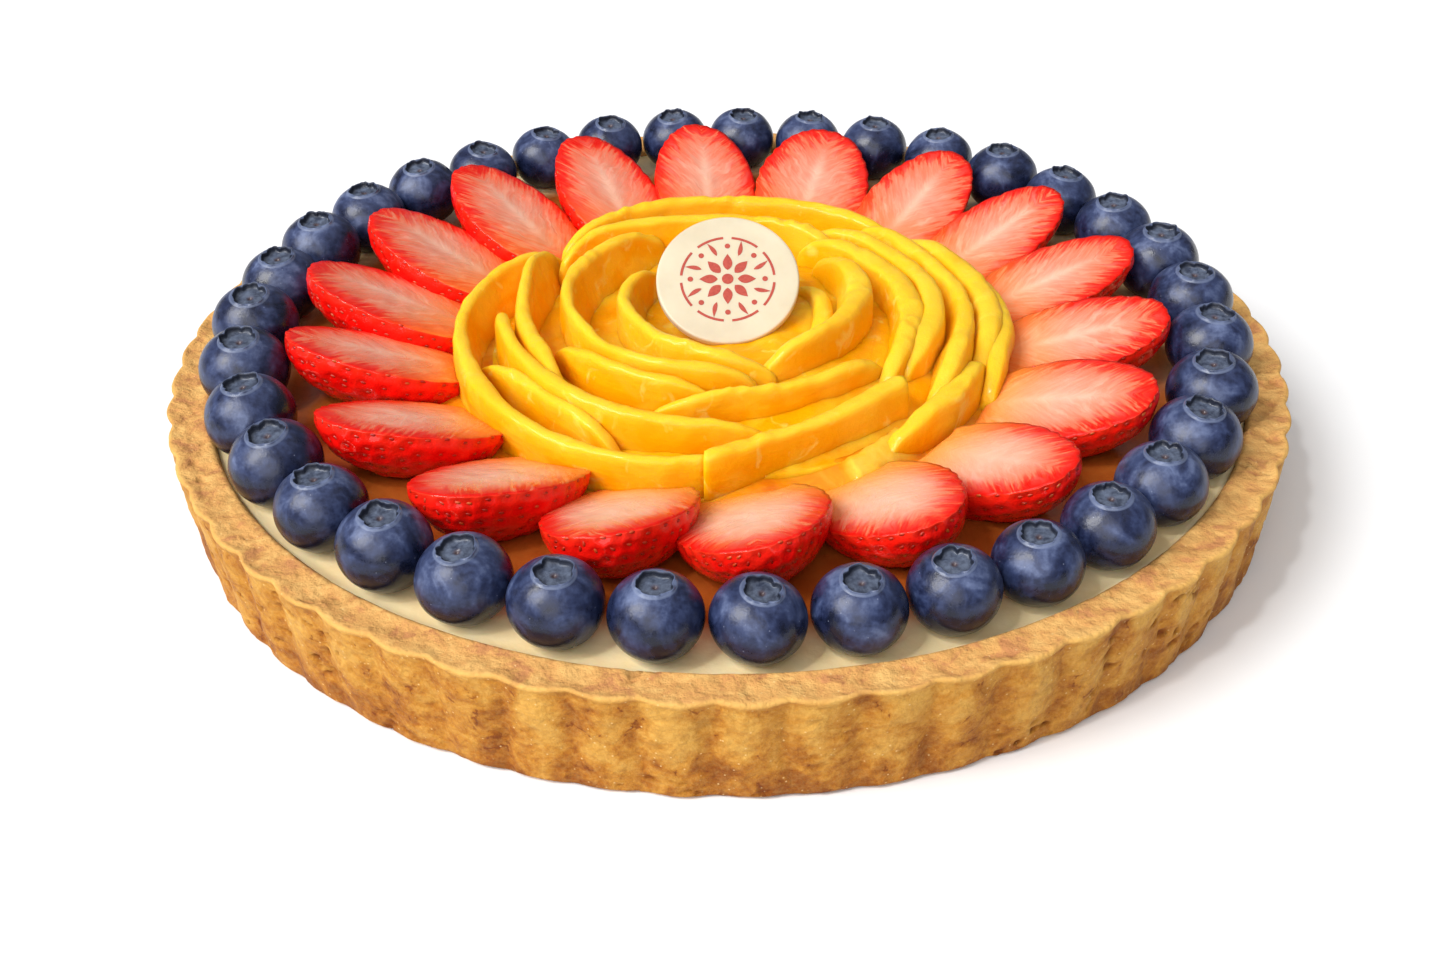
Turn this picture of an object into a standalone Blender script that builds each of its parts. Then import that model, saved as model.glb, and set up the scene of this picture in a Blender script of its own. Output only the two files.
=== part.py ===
"""Fruit tart: a fluted crust filled with custard, ringed by blueberries and
strawberry halves, with a rosette of mango ribbons and a round chocolate
medallion on top. Metres, +Z up, origin under the middle of the crust."""

import math
import random

import bmesh
import bpy
from mathutils import Euler, Vector

MM = 0.001
GAP = 0.3 * MM                      # clearance between touching pieces

# Crust
CRUST_HEIGHT = 22.2 * MM
RIM_RADIUS = 110.0 * MM             # mean outer radius at the top
FOOT_RADIUS = 107.6 * MM            # mean outer radius at the bottom
RIM_INNER_RADIUS = 102.2 * MM
BASE_THICKNESS = 5.0 * MM
INNER_WALL_SLOPE = 1.2 * MM         # the hollow narrows by this towards the base
RIM_ROUND = 0.8 * MM
FLUTES = 59
FLUTE_DEPTH = 1.9 * MM               # at the rim; the flutes fade towards the foot
FLUTE_FADE = 0.4                     # share of the depth that is left at the foot
FLUTE_STEPS = 5                     # corners that draw one flute
FLUTE_UNEVENNESS = 0.25 * MM
BASE_EDGE_INSET = 0.7 * MM
BASE_RING_RADIUS = 96.0 * MM

# Custard
CUSTARD_TOP = 19.6 * MM

# Blueberries
BERRY_COUNT = 35
BERRY_RING_RADIUS = 95.1 * MM
BERRY_FIRST = math.radians(5.0)
BERRY_CROWDING = math.radians(1.4)   # how far berries crowd together at front and back
BERRY_CROWDING_TURN = math.radians(12.0)
BERRY_MAX_WIDTH = 17.6 * MM
BERRY_HEIGHT_RATIO = 0.90
BERRY_SIDES = 10
BERRY_LEAN = math.radians(6.0)
CROWN_RADIUS = 0.40                 # shares of the berry's half width
CROWN_DEPTH = 0.17

# Strawberry halves: directions of the tips, seen from above
STRAWBERRY_DIRECTIONS = (14, 33, 52, 73, 94, 113, 133, 152, 171,
                         190, 212, 234, 254, 273, 293, 312, 333, 354)
STRAWBERRY_RADIUS = 69.0 * MM       # middle of the cut face, from the tart's axis
STRAWBERRY_FACE_HEIGHT = 6.0 * MM   # the same point, above the rim
STRAWBERRY_HALF_LENGTH = 18.3 * MM
STRAWBERRY_MAX_HALF_WIDTH = 12.3 * MM
STRAWBERRY_DEPTH = 11.0 * MM
STRAWBERRY_PITCH = math.radians(19.0)   # the tip is raised
STRAWBERRY_TILT = math.radians(11.0)    # the counter-clockwise edge is raised
STRAWBERRY_INNER_RADIUS = 55.0 * MM     # hulled ends stop here
STRAWBERRY_BACK_REACH = 4.5 * MM        # and reach this much further in at the back
STRAWBERRY_SIDES = 18
STRAWBERRY_RINGS = 4
TIP_TAPER = 0.125
SHOULDER_FULLNESS = 0.75

# Mango rosette: each ribbon stands on edge along an arc. A row gives the arc's
# start and end in degrees, the crest's radius at the start and end and its
# bulge half way, then the crest's height above the rim at the start and end.
# Both ends dip and tuck in between their neighbours, unless they are cut square.
RIBBONS = {
    "outer_left": (265, 141, 52.5, 45.6, 5.4, 7.4, 11.0),
    "second_left": (197, 246, 50.2, 48.5, -3.2, 9.5, 8.3),
    "third_left": (176, 281, 46.2, 42.8, -0.7, 11.4, 9.3),
    "fourth_left": (143, 225, 45.9, 42.1, -3.4, 12.3, 11.1),
    "short_left": (201, 270, 35.0, 32.7, -0.4, 11.9, 11.7),
    "middle_left": (113, 282, 34.4, 28.4, 0.1, 13.8, 12.6),
    "inner_left": (132, 290, 19.2, 26.9, -1.6, 14.0, 14.0),
    "inner_right": (284, 407, 25.7, 27.3, -0.8, 14.6, 14.1),
    "front_middle": (247, 327, 41.1, 35.0, -3.5, 10.9, 11.5),
    "middle_right": (60, -42, 31.1, 39.6, 0.0, 13.7, 11.4),
    "next_right": (63, -34, 35.0, 39.7, 2.7, 13.2, 11.3),
    "third_right": (53, -38, 43.4, 48.3, -0.2, 12.4, 10.3),
    "outer_right": (42, -21, 46.8, 51.7, 1.3, 12.2, 9.7),
    "edge_right": (22, -27, 50.9, 55.6, 0.4, 11.3, 7.6),
    "low_right": (-17, -56, 51.8, 50.9, 0.2, 9.6, 6.3),
    "front_right": (266, 314, 53.0, 43.6, -4.0, 8.3, 9.4),
    "outer_back": (140, 36, 46.1, 46.3, -0.6, 12.0, 12.0),
    "second_back": (148, 43, 40.9, 34.0, -1.9, 13.0, 13.0),
    "curl_right": (42, -44, 16.6, 20.0, 0.4, 12.0, 11.0),
}
SQUARE_STARTS = ("outer_left", "front_right")
SQUARE_ENDS = ("front_right",)
RIBBON_TUCK = 3.0 * MM              # how far the crest dips at an end
RIBBON_THICKNESS = 3.2 * MM
RIBBON_SPREAD = 0.25                # how far the foot spreads inward, as a share of the height
RIBBON_WAIST = 0.45                 # height share up to which a ribbon keeps off the strawberries
RIBBON_STEP = 8.0 * MM              # length of one straight piece of a ribbon
OUTER_RIBBON_RADIUS = 44.0 * MM     # ribbons outside this stand on the custard
INNER_RIBBON_FOOT = 0.5 * MM        # the others start at this height above the rim
CORE_RADIUS = 47.6 * MM
CORE_RADIUS_SHIFT = 2.4 * MM        # wider at the front, narrower at the back
CORE_RISE = ((0.97, 1.2 * MM), (0.90, 2.0 * MM), (0.72, 3.8 * MM),
             (0.40, 6.0 * MM))      # share of the radius, height above the rim
CORE_SIDES = 40
HEART_RADIUS = 12.6 * MM            # pad of rolled ribbon under the medallion
HEART_SIDES = 16

# Medallion
MEDALLION_RADIUS = 14.2 * MM
MEDALLION_THICKNESS = 2.0 * MM
MEDALLION_EDGE = 0.4 * MM
MEDALLION_CENTRE = Vector((0.0, 0.0, CRUST_HEIGHT + 15.0 * MM))
MEDALLION_LEAN = math.radians(34.0)  # its face leans towards the front
MEDALLION_SIDES = 40

SEED = 20


def remove_everything():
    for thing in list(bpy.data.objects):
        bpy.data.objects.remove(thing, do_unlink=True)


def polar(radius, angle, height):
    return Vector((radius * math.cos(angle), radius * math.sin(angle), height))


def material(name, color, roughness):
    made = bpy.data.materials.new(name)
    made.use_nodes = True
    shader = made.node_tree.nodes["Principled BSDF"]
    shader.inputs["Base Color"].default_value = (*color, 1.0)
    shader.inputs["Roughness"].default_value = roughness
    shader.inputs["Metallic"].default_value = 0.0
    return made


def crust_material():
    return material("baked_crust", (0.56, 0.31, 0.11), 0.75)


def custard_material():
    return material("custard", (0.80, 0.66, 0.32), 0.35)


def berry_material():
    return material("berry_skin", (0.055, 0.085, 0.19), 0.45)


def strawberry_material():
    return material("strawberry", (0.70, 0.045, 0.02), 0.3)


def mango_material():
    return material("mango", (0.95, 0.52, 0.01), 0.3)


def medallion_material():
    return material("white_chocolate", (0.86, 0.78, 0.58), 0.5)


def join_rings(bm, first, second):
    """Faces between two rings. The larger count is a multiple of the smaller."""
    if len(first) < len(second):
        first, second = second, first
    fine = len(first)
    coarse = len(second)
    share = fine // coarse
    for index in range(fine):
        corner = first[index]
        following = first[(index + 1) % fine]
        near = second[index // share]
        if coarse > 1 and index % share == share - 1:
            far = second[(index // share + 1) % coarse]
            bm.faces.new((corner, following, far, near))
        else:
            bm.faces.new((corner, following, near))


def ring_solid(name, rings, finish):
    """A closed solid from rings of points. A ring of one point closes an end."""
    bm = bmesh.new()
    made = [[bm.verts.new(point) for point in ring] for ring in rings]
    for first, second in zip(made, made[1:]):
        join_rings(bm, first, second)
    bmesh.ops.recalc_face_normals(bm, faces=bm.faces)
    mesh = bpy.data.meshes.new(name)
    bm.to_mesh(mesh)
    bm.free()
    return add_object(name, mesh, finish)


def add_object(name, mesh, finish):
    mesh.materials.clear()
    mesh.materials.append(finish)
    mesh.shade_smooth()
    mesh.set_sharp_from_angle(angle=math.radians(35))
    made = bpy.data.objects.new(name, mesh)
    bpy.context.scene.collection.objects.link(made)
    return made


def flute_offset(share):
    """Outward swell of the crust's wall, for a place in 0..1 along one flute."""
    return FLUTE_DEPTH * (abs(math.sin(math.pi * share)) ** 0.6 - 0.7)


def fluted_ring(radius, height, swell, unevenness):
    points = []
    count = FLUTES * FLUTE_STEPS
    for index in range(count):
        angle = math.tau * index / count
        share = (index % FLUTE_STEPS) / FLUTE_STEPS
        extra = swell * flute_offset(share) + unevenness[index // FLUTE_STEPS]
        points.append(polar(radius + extra, angle, height))
    return points


def plain_ring(radius, height, count=FLUTES):
    return [polar(radius, math.tau * index / count, height) for index in range(count)]


def make_crust(finish):
    draw = random.Random(SEED)
    uneven = [draw.uniform(-1.0, 1.0) * FLUTE_UNEVENNESS for _ in range(FLUTES)]
    rings = [
        [Vector((0.0, 0.0, 0.0))],
        plain_ring(BASE_RING_RADIUS, 0.0),
        fluted_ring(FOOT_RADIUS - BASE_EDGE_INSET, 0.0, FLUTE_FADE, uneven),
        fluted_ring(FOOT_RADIUS, BASE_EDGE_INSET, FLUTE_FADE, uneven),
        fluted_ring(RIM_RADIUS, CRUST_HEIGHT - RIM_ROUND, 1.0, uneven),
        fluted_ring(RIM_RADIUS - RIM_ROUND, CRUST_HEIGHT, 0.8, uneven),
        plain_ring(RIM_INNER_RADIUS + RIM_ROUND, CRUST_HEIGHT),
        plain_ring(RIM_INNER_RADIUS, CRUST_HEIGHT - RIM_ROUND),
        plain_ring(RIM_INNER_RADIUS - INNER_WALL_SLOPE, BASE_THICKNESS),
        [Vector((0.0, 0.0, BASE_THICKNESS))],
    ]
    return ring_solid("crust", rings, finish)


def inner_wall_radius(height):
    """Radius of the crust's hollow at a height."""
    share = (CRUST_HEIGHT - RIM_ROUND - height) / (CRUST_HEIGHT - RIM_ROUND - BASE_THICKNESS)
    return RIM_INNER_RADIUS - INNER_WALL_SLOPE * share


def make_custard(finish):
    low = BASE_THICKNESS + GAP
    rings = [
        [Vector((0.0, 0.0, low))],
        plain_ring(inner_wall_radius(low) - GAP, low),
        plain_ring(inner_wall_radius(CUSTARD_TOP) - GAP, CUSTARD_TOP),
        [Vector((0.0, 0.0, CUSTARD_TOP))],
    ]
    return ring_solid("custard", rings, finish)


def berry_angle(index):
    even = BERRY_FIRST + math.tau * index / BERRY_COUNT
    return even + BERRY_CROWDING * math.sin(2.0 * even - BERRY_CROWDING_TURN)


def berry_width(index):
    """The widest berry that leaves a gap to both neighbours."""
    here = berry_angle(index)
    steps = (here - berry_angle(index - 1), berry_angle(index + 1) - here)
    chord = 2.0 * BERRY_RING_RADIUS * math.sin(min(steps) / 2.0)
    return min(chord - GAP, BERRY_MAX_WIDTH)


def berry_rings(half_width, half_height):
    """A flattened ball whose top sinks into a crown with raised lobes."""
    crown = CROWN_RADIUS * half_width
    crown_height = half_height * math.sqrt(1.0 - CROWN_RADIUS ** 2)
    floor = crown_height - CROWN_DEPTH * half_width
    rings = [[Vector((0.0, 0.0, -half_height))]]
    for latitude in (-58, -28, 3, 34):
        slope = math.radians(latitude)
        rings.append(plain_ring(half_width * math.cos(slope),
                                half_height * math.sin(slope), BERRY_SIDES))
    lobes = plain_ring(crown, crown_height, BERRY_SIDES)
    for point in lobes[::2]:
        point.z += 0.06 * half_width
    rings.append(lobes)
    rings.append(plain_ring(0.8 * crown, floor, BERRY_SIDES))
    rings.append([Vector((0.0, 0.0, floor))])
    return rings


def settle(made, floor):
    """Lower or raise an object until its lowest point is at the floor."""
    turn = made.rotation_euler.to_matrix()
    lowest = min((turn @ vertex.co).z for vertex in made.data.vertices)
    made.location.z = floor - lowest


def make_berries(finish):
    draw = random.Random(SEED + 1)
    for index in range(BERRY_COUNT):
        half_width = 0.5 * berry_width(index) * draw.uniform(0.97, 1.0)
        half_height = half_width * BERRY_HEIGHT_RATIO * draw.uniform(0.98, 1.03)
        berry = ring_solid(f"blueberry_{index + 1:02d}",
                           berry_rings(half_width, half_height), finish)
        angle = berry_angle(index)
        lean = BERRY_LEAN * draw.uniform(0.2, 1.6)
        sideways = BERRY_LEAN * draw.uniform(-1.0, 1.0)
        berry.rotation_euler = Euler((lean, sideways, draw.uniform(0.0, math.tau)), "ZYX")
        berry.location = polar(BERRY_RING_RADIUS, angle, 0.0)
        settle(berry, CUSTARD_TOP + GAP)


def strawberry_half_width(index):
    count = len(STRAWBERRY_DIRECTIONS)
    here = STRAWBERRY_DIRECTIONS[index]
    before = (here - STRAWBERRY_DIRECTIONS[index - 1]) % 360
    after = (STRAWBERRY_DIRECTIONS[(index + 1) % count] - here) % 360
    chord = 2.0 * STRAWBERRY_RADIUS * math.sin(math.radians(min(before, after)) / 2.0)
    return min(0.5 * chord - GAP, STRAWBERRY_MAX_HALF_WIDTH)


def face_outline(half_length, half_width):
    """Outline of the cut face: a tapering tip at +X and a full shoulder."""
    points = []
    for index in range(STRAWBERRY_SIDES):
        turn = math.tau * index / STRAWBERRY_SIDES
        across = math.sin(turn)
        if math.cos(turn) > 0.0:
            across *= 1.0 - TIP_TAPER * math.cos(turn)
        else:
            across = math.copysign(abs(across) ** SHOULDER_FULLNESS, across)
        points.append((half_length * math.cos(turn), half_width * across))
    return points


def strawberry_axes(angle):
    """Directions along, across and out of the cut face of a half at an angle."""
    outward = polar(1.0, angle, 0.0)
    sideways = polar(1.0, angle + math.pi / 2.0, 0.0)
    up = Vector((0.0, 0.0, 1.0))
    along = outward * math.cos(STRAWBERRY_PITCH) + up * math.sin(STRAWBERRY_PITCH)
    upright = up * math.cos(STRAWBERRY_PITCH) - outward * math.sin(STRAWBERRY_PITCH)
    across = sideways * math.cos(STRAWBERRY_TILT) + upright * math.sin(STRAWBERRY_TILT)
    normal = upright * math.cos(STRAWBERRY_TILT) - sideways * math.sin(STRAWBERRY_TILT)
    return along, across, normal


def strawberry_reach(backward):
    """Radius where the strawberries stop, for a direction's share towards the back."""
    return STRAWBERRY_INNER_RADIUS - STRAWBERRY_BACK_REACH * max(backward, 0.0)


def kept_clear(point):
    """Flatten a strawberry where it lies on the custard and meets the rosette."""
    point.z = max(point.z, CUSTARD_TOP + GAP)
    radius = math.hypot(point.x, point.y)
    nearest = strawberry_reach(point.y / radius)
    if radius < nearest:
        point.xy = point.xy * (nearest / radius)
    return point


def make_strawberries(finish):
    draw = random.Random(SEED + 2)
    for index, direction in enumerate(STRAWBERRY_DIRECTIONS):
        angle = math.radians(direction)
        along, across, normal = strawberry_axes(angle)
        centre = polar(STRAWBERRY_RADIUS, angle, CRUST_HEIGHT + STRAWBERRY_FACE_HEIGHT)
        half_length = STRAWBERRY_HALF_LENGTH * draw.uniform(0.96, 1.02)
        half_width = strawberry_half_width(index) * draw.uniform(0.97, 1.0)
        depth = STRAWBERRY_DEPTH * draw.uniform(0.95, 1.05)
        outline = face_outline(half_length, half_width)
        rings = [[centre.copy()]]
        for step in range(STRAWBERRY_RINGS):
            slope = 0.5 * math.pi * step / STRAWBERRY_RINGS
            shrink = math.cos(slope)
            sink = depth * math.sin(slope)
            rings.append([kept_clear(centre + along * (x * shrink)
                                     + across * (y * shrink) - normal * sink)
                          for x, y in outline])
        rings.append([kept_clear(centre - normal * depth)])
        ring_solid(f"strawberry_half_{index + 1:02d}", rings, finish)


def ribbon_sections(name, row):
    """Six corners of each cross-section along a ribbon, from foot to crest."""
    start, end, start_radius, end_radius, bulge, start_crest, end_crest = row
    sweep = math.radians(end - start)
    length = abs(sweep) * 0.5 * (start_radius + end_radius) * MM
    steps = max(4, round(length / RIBBON_STEP))
    half = RIBBON_THICKNESS / 2.0
    sections = []
    for index in range(steps + 1):
        share = index / steps
        angle = math.radians(start) + sweep * share
        radius = start_radius + (end_radius - start_radius) * share
        radius = (radius + 4.0 * bulge * share * (1.0 - share)) * MM
        crest = CRUST_HEIGHT + (start_crest + (end_crest - start_crest) * share) * MM
        starts = index == 0 and name not in SQUARE_STARTS
        ends = index == steps and name not in SQUARE_ENDS
        if starts or ends:
            crest -= RIBBON_TUCK
        foot = CRUST_HEIGHT + INNER_RIBBON_FOOT
        if max(start_radius, end_radius) * MM > OUTER_RIBBON_RADIUS:
            foot = CUSTARD_TOP + GAP
        spread = RIBBON_SPREAD * (crest - foot)
        waist = foot + RIBBON_WAIST * (crest - foot)
        outside = min(radius + half, strawberry_reach(math.sin(angle)) - GAP)
        sections.append([
            polar(radius - half - spread, angle, foot),
            polar(outside, angle, foot),
            polar(outside, angle, waist),
            polar(radius + half, angle, crest - 0.5 * half),
            polar(radius, angle, crest),
            polar(radius - half, angle, crest - 0.5 * half),
        ])
    return sections


def capped_strip(name, sections, finish):
    """A closed solid swept through cross-sections, with flat ends."""
    bm = bmesh.new()
    made = [[bm.verts.new(point) for point in section] for section in sections]
    for first, second in zip(made, made[1:]):
        join_rings(bm, first, second)
    bm.faces.new(made[0])
    bm.faces.new(made[-1])
    bmesh.ops.recalc_face_normals(bm, faces=bm.faces)
    mesh = bpy.data.meshes.new(name)
    bm.to_mesh(mesh)
    bm.free()
    return add_object(name, mesh, finish)


def core_ring(share, height):
    ring = []
    for index in range(CORE_SIDES):
        angle = math.tau * index / CORE_SIDES
        radius = CORE_RADIUS - CORE_RADIUS_SHIFT * math.sin(angle)
        ring.append(polar(share * radius, angle, height))
    return ring


def make_core(finish):
    """Mango that fills the rosette between the feet of its ribbons."""
    low = CUSTARD_TOP + GAP
    rings = [[Vector((0.0, 0.0, low))], core_ring(1.0, low)]
    rings += [core_ring(share, CRUST_HEIGHT + rise) for share, rise in CORE_RISE]
    rings.append([Vector((0.0, 0.0, CRUST_HEIGHT + CORE_RISE[-1][1]))])
    return ring_solid("mango_rosette", rings, finish)


def lean_forward(point):
    """Turn a point of an upright piece to the medallion's lean."""
    turned = Euler((MEDALLION_LEAN, 0.0, 0.0)).to_matrix() @ point
    return turned + MEDALLION_CENTRE


def make_heart(finish):
    """The rolled middle of the rosette, cut to the medallion's slope."""
    base = CRUST_HEIGHT
    top = [lean_forward(point) for point in
           plain_ring(HEART_RADIUS, -MEDALLION_THICKNESS / 2.0 - GAP, HEART_SIDES)]
    low = [Vector((point.x, point.y, base)) for point in top]
    middle = lean_forward(Vector((0.0, 0.0, -MEDALLION_THICKNESS / 2.0 - GAP)))
    rings = [[Vector((middle.x, middle.y, base))], low, top, [middle]]
    return ring_solid("rosette_heart", rings, finish)


def make_rosette(finish):
    core = make_core(finish)
    pieces = bpy.data.collections.new("rosette_pieces")
    bpy.context.scene.collection.children.link(pieces)
    parts = [capped_strip(name, ribbon_sections(name, row), finish)
             for name, row in RIBBONS.items()]
    parts.append(make_heart(finish))
    for piece in parts:
        bpy.context.scene.collection.objects.unlink(piece)
        pieces.objects.link(piece)
    join = core.modifiers.new("join", "BOOLEAN")
    join.operation = "UNION"
    join.operand_type = "COLLECTION"
    join.collection = pieces
    join.solver = "EXACT"
    bpy.context.view_layer.update()
    joined = bpy.data.meshes.new_from_object(core.evaluated_get(
        bpy.context.evaluated_depsgraph_get()))
    core.modifiers.clear()
    core.data = joined
    for piece in parts:
        bpy.data.objects.remove(piece, do_unlink=True)
    bpy.data.collections.remove(pieces)
    return core


def make_medallion(finish):
    half = MEDALLION_THICKNESS / 2.0
    inner = MEDALLION_RADIUS - MEDALLION_EDGE
    profile = ((0.0, -half), (inner, -half), (MEDALLION_RADIUS, MEDALLION_EDGE - half),
               (MEDALLION_RADIUS, half - MEDALLION_EDGE), (inner, half), (0.0, half))
    rings = []
    for radius, height in profile:
        count = MEDALLION_SIDES if radius else 1
        rings.append(plain_ring(radius, height, count))
    medallion = ring_solid("medallion", rings, finish)
    medallion.location = MEDALLION_CENTRE
    medallion.rotation_euler = (MEDALLION_LEAN, 0.0, 0.0)
    return medallion


def main():
    remove_everything()
    make_crust(crust_material())
    make_custard(custard_material())
    make_berries(berry_material())
    make_strawberries(strawberry_material())
    make_rosette(mango_material())
    make_medallion(medallion_material())


main()
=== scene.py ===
"""Looks of the fruit tart: baked crust, custard, glaze, blueberries, strawberry
halves, mango ribbons and a chocolate medallion, on a pale floor in soft light.
Metres, +Z up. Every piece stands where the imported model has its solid."""

import itertools
import math
import random

import bpy
import numpy as np
from mathutils import Euler, Matrix, Vector


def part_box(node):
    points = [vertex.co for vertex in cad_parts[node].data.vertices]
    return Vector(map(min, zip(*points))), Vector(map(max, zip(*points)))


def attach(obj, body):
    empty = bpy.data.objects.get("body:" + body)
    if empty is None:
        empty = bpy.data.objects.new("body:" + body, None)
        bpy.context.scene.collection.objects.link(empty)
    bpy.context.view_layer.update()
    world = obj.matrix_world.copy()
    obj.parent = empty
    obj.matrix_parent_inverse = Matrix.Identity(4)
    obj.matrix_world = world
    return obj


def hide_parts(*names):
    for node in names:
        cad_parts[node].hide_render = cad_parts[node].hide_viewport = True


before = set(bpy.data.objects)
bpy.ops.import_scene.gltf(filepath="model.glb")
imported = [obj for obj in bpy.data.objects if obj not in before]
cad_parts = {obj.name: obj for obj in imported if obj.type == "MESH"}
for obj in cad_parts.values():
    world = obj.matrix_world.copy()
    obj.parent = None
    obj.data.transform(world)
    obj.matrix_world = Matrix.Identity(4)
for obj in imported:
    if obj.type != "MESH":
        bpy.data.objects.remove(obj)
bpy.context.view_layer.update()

MM = 0.001
GAP = 0.3 * MM
SEED = 20
TAU = math.tau

# Crust, as in the solid
CRUST_HEIGHT = 22.2 * MM
RIM_RADIUS = 110.0 * MM
FOOT_RADIUS = 107.6 * MM
BASE_THICKNESS = 5.0 * MM
FLUTES = 59
FLUTE_DEPTH = 1.9 * MM
FLUTE_FADE = 0.4
LIP_DROOP = 0.35 * MM  # the rim's outer edge hangs lower on each flute
FLUTE_UNEVENNESS = 0.25 * MM
FLUTE_COLUMNS = 20
WALL_ROWS = 46
WALL_REACH = (0.8, 21.1)  # mm, heights where the fluted wall starts and ends
RIM_ROWS = 16
RIM_OUTER = 109.0  # mm, radius where the flat rim starts
RIM_WIDTH = 5.8  # mm
RIM_DISH = 0.28  # mm

# Rows of the crust's section that lead up to the wall, over the lip, and from the rim
# down to the floor: radius and height in mm, share of the flutes, strength of the
# relief, share of the rim's finish, share of the painted highlight along the lip
FOOT_ROWS = (
    (60.0, 0.0, 0.0, 0.0, 0.0, 0.0), (96.0, 0.0, 0.0, 0.0, 0.0, 0.0),
    (104.0, 0.0, 0.2, 0.2, 0.0, 0.0), (106.6, 0.0, 0.3, 0.5, 0.0, 0.0),
    (107.2, 0.25, 0.35, 0.8, 0.0, 0.0),
)
LIP_ROWS = (
    (110.15, 21.55, 0.68, 0.35, 0.0, 0.2), (110.25, 21.95, 0.68, 0.3, 0.2, 0.7),
    (110.0, 22.3, 0.68, 0.3, 0.6, 0.8), (109.55, 22.36, 0.66, 0.3, 1.0, 0.4),
)
MOUTH_ROWS = (
    (102.8, 22.05, 0.0, 0.4, 1.0, 0.0), (102.4, 21.7, 0.0, 0.4, 0.9, 0.0),
    (102.2, 21.2, 0.0, 0.4, 0.8, 0.0), (102.1, 19.0, 0.0, 0.2, 0.6, 0.0),
    (101.0, 5.0, 0.0, 0.0, 0.0, 0.0), (60.0, 5.0, 0.0, 0.0, 0.0, 0.0),
)

# Custard and glaze
CUSTARD_TOP = 19.6 * MM
CUSTARD_RISE = 0.5 * MM  # its skin covers the clearance under the fruit
CUSTARD_REACH = (30 * MM, 102.05 * MM)
CUSTARD_SPACING = 1.5 * MM
MOUND_RISE = 0.75 * MM  # custard pushed up round each berry
MOUND_WIDTH = 4.4 * MM
GLAZE_REACH = (40 * MM, 80 * MM)
GLAZE_SPACING = 1.1 * MM
SLAB_TURN = math.radians(303.0)  # a flat piece of mango that lies in the glaze
SLAB_RADIUS = 51.0 * MM
SLAB_LENGTH = 17.0 * MM
SLAB_WIDTH = 7.0 * MM
SLAB_RISE = 1.6 * MM

# Blueberries, as in the solids
BERRY_COUNT = 35
BERRY_RING_RADIUS = 95.1 * MM
BERRY_FIRST = math.radians(5.0)
BERRY_CROWDING = math.radians(1.4)
BERRY_CROWDING_TURN = math.radians(12.0)
BERRY_MAX_WIDTH = 17.6 * MM
BERRY_HEIGHT_RATIO = 0.90
BERRY_LEAN = math.radians(6.0)
CROWN_RADIUS = 0.40
BERRY_COLUMNS = 72
BERRY_ROWS = 35

# Strawberry halves, as in the solids
STRAWBERRY_DIRECTIONS = (14, 33, 52, 73, 94, 113, 133, 152, 171,
                         190, 212, 234, 254, 273, 293, 312, 333, 354)
STRAWBERRY_RADIUS = 69.0 * MM
STRAWBERRY_FACE_HEIGHT = 6.0 * MM
STRAWBERRY_HALF_LENGTH = 18.8 * MM
STRAWBERRY_MAX_HALF_WIDTH = 12.3 * MM
STRAWBERRY_USUAL = 1.08  # share of the solid's width
STRAWBERRY_PLUMP = 1.30  # the front halves are this much wider, edge over edge
STRAWBERRY_SLIM = 0.92  # and those at the right this much slimmer
STRAWBERRY_DEPTH = 11.0 * MM
STRAWBERRY_PITCH = math.radians(19.0)
STRAWBERRY_TILT = math.radians(11.0)
STRAWBERRY_INNER_RADIUS = 55.0 * MM
STRAWBERRY_BACK_REACH = 4.5 * MM
TIP_TAPER = 0.125
TIP_FULLNESS = 0.84
SHOULDER_FULLNESS = 0.75
STRAWBERRY_COLUMNS = 128
SKIN_ROWS = 36
FACE_ROWS = 24
SEED_SPACING = 3.3 * MM
SEED_LENGTH = 1.05 * MM
SEED_WIDTH = 0.6 * MM
DIMPLE_DEPTH = 0.55 * MM
DIMPLE_RADIUS = 1.0 * MM

# Mango ribbons, as in the solid: start and end in degrees, crest radius at the
# start and end and its bulge in mm, crest height over the rim in mm
RIBBONS = {
    "outer_left": (265, 141, 52.5, 45.6, 5.4, 7.4, 11.0),
    "second_left": (197, 246, 50.2, 48.5, -3.2, 9.5, 8.3),
    "third_left": (176, 281, 46.2, 42.8, -0.7, 11.4, 9.3),
    "fourth_left": (143, 225, 45.9, 42.1, -3.4, 12.3, 11.1),
    "short_left": (201, 270, 35.0, 32.7, -0.4, 11.9, 11.7),
    "middle_left": (113, 282, 34.4, 28.4, 0.1, 13.8, 12.6),
    "inner_left": (132, 290, 19.2, 26.9, -1.6, 14.0, 14.0),
    "inner_right": (284, 407, 25.7, 27.3, -0.8, 14.6, 14.1),
    "front_middle": (247, 327, 41.1, 35.0, -3.5, 10.9, 11.5),
    "middle_right": (60, -42, 31.1, 39.6, 0.0, 13.7, 11.4),
    "next_right": (63, -34, 35.0, 39.7, 2.7, 13.2, 11.3),
    "third_right": (53, -38, 43.4, 48.3, -0.2, 12.4, 10.3),
    "outer_right": (42, -21, 46.8, 51.7, 1.3, 12.2, 9.7),
    "edge_right": (22, -27, 50.9, 55.6, 0.4, 11.3, 7.6),
    "low_right": (-17, -56, 51.8, 50.9, 0.2, 9.6, 6.3),
    "front_right": (266, 314, 53.0, 43.6, -4.0, 8.3, 9.4),
    "outer_back": (140, 36, 46.1, 46.3, -0.6, 12.0, 12.0),
    "second_back": (148, 43, 40.9, 34.0, -1.9, 13.0, 13.0),
    "curl_right": (42, -44, 16.6, 20.0, 0.4, 12.0, 11.0),
}
SQUARE_STARTS = ("outer_left", "front_right")
SQUARE_ENDS = ("front_right",)
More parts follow.
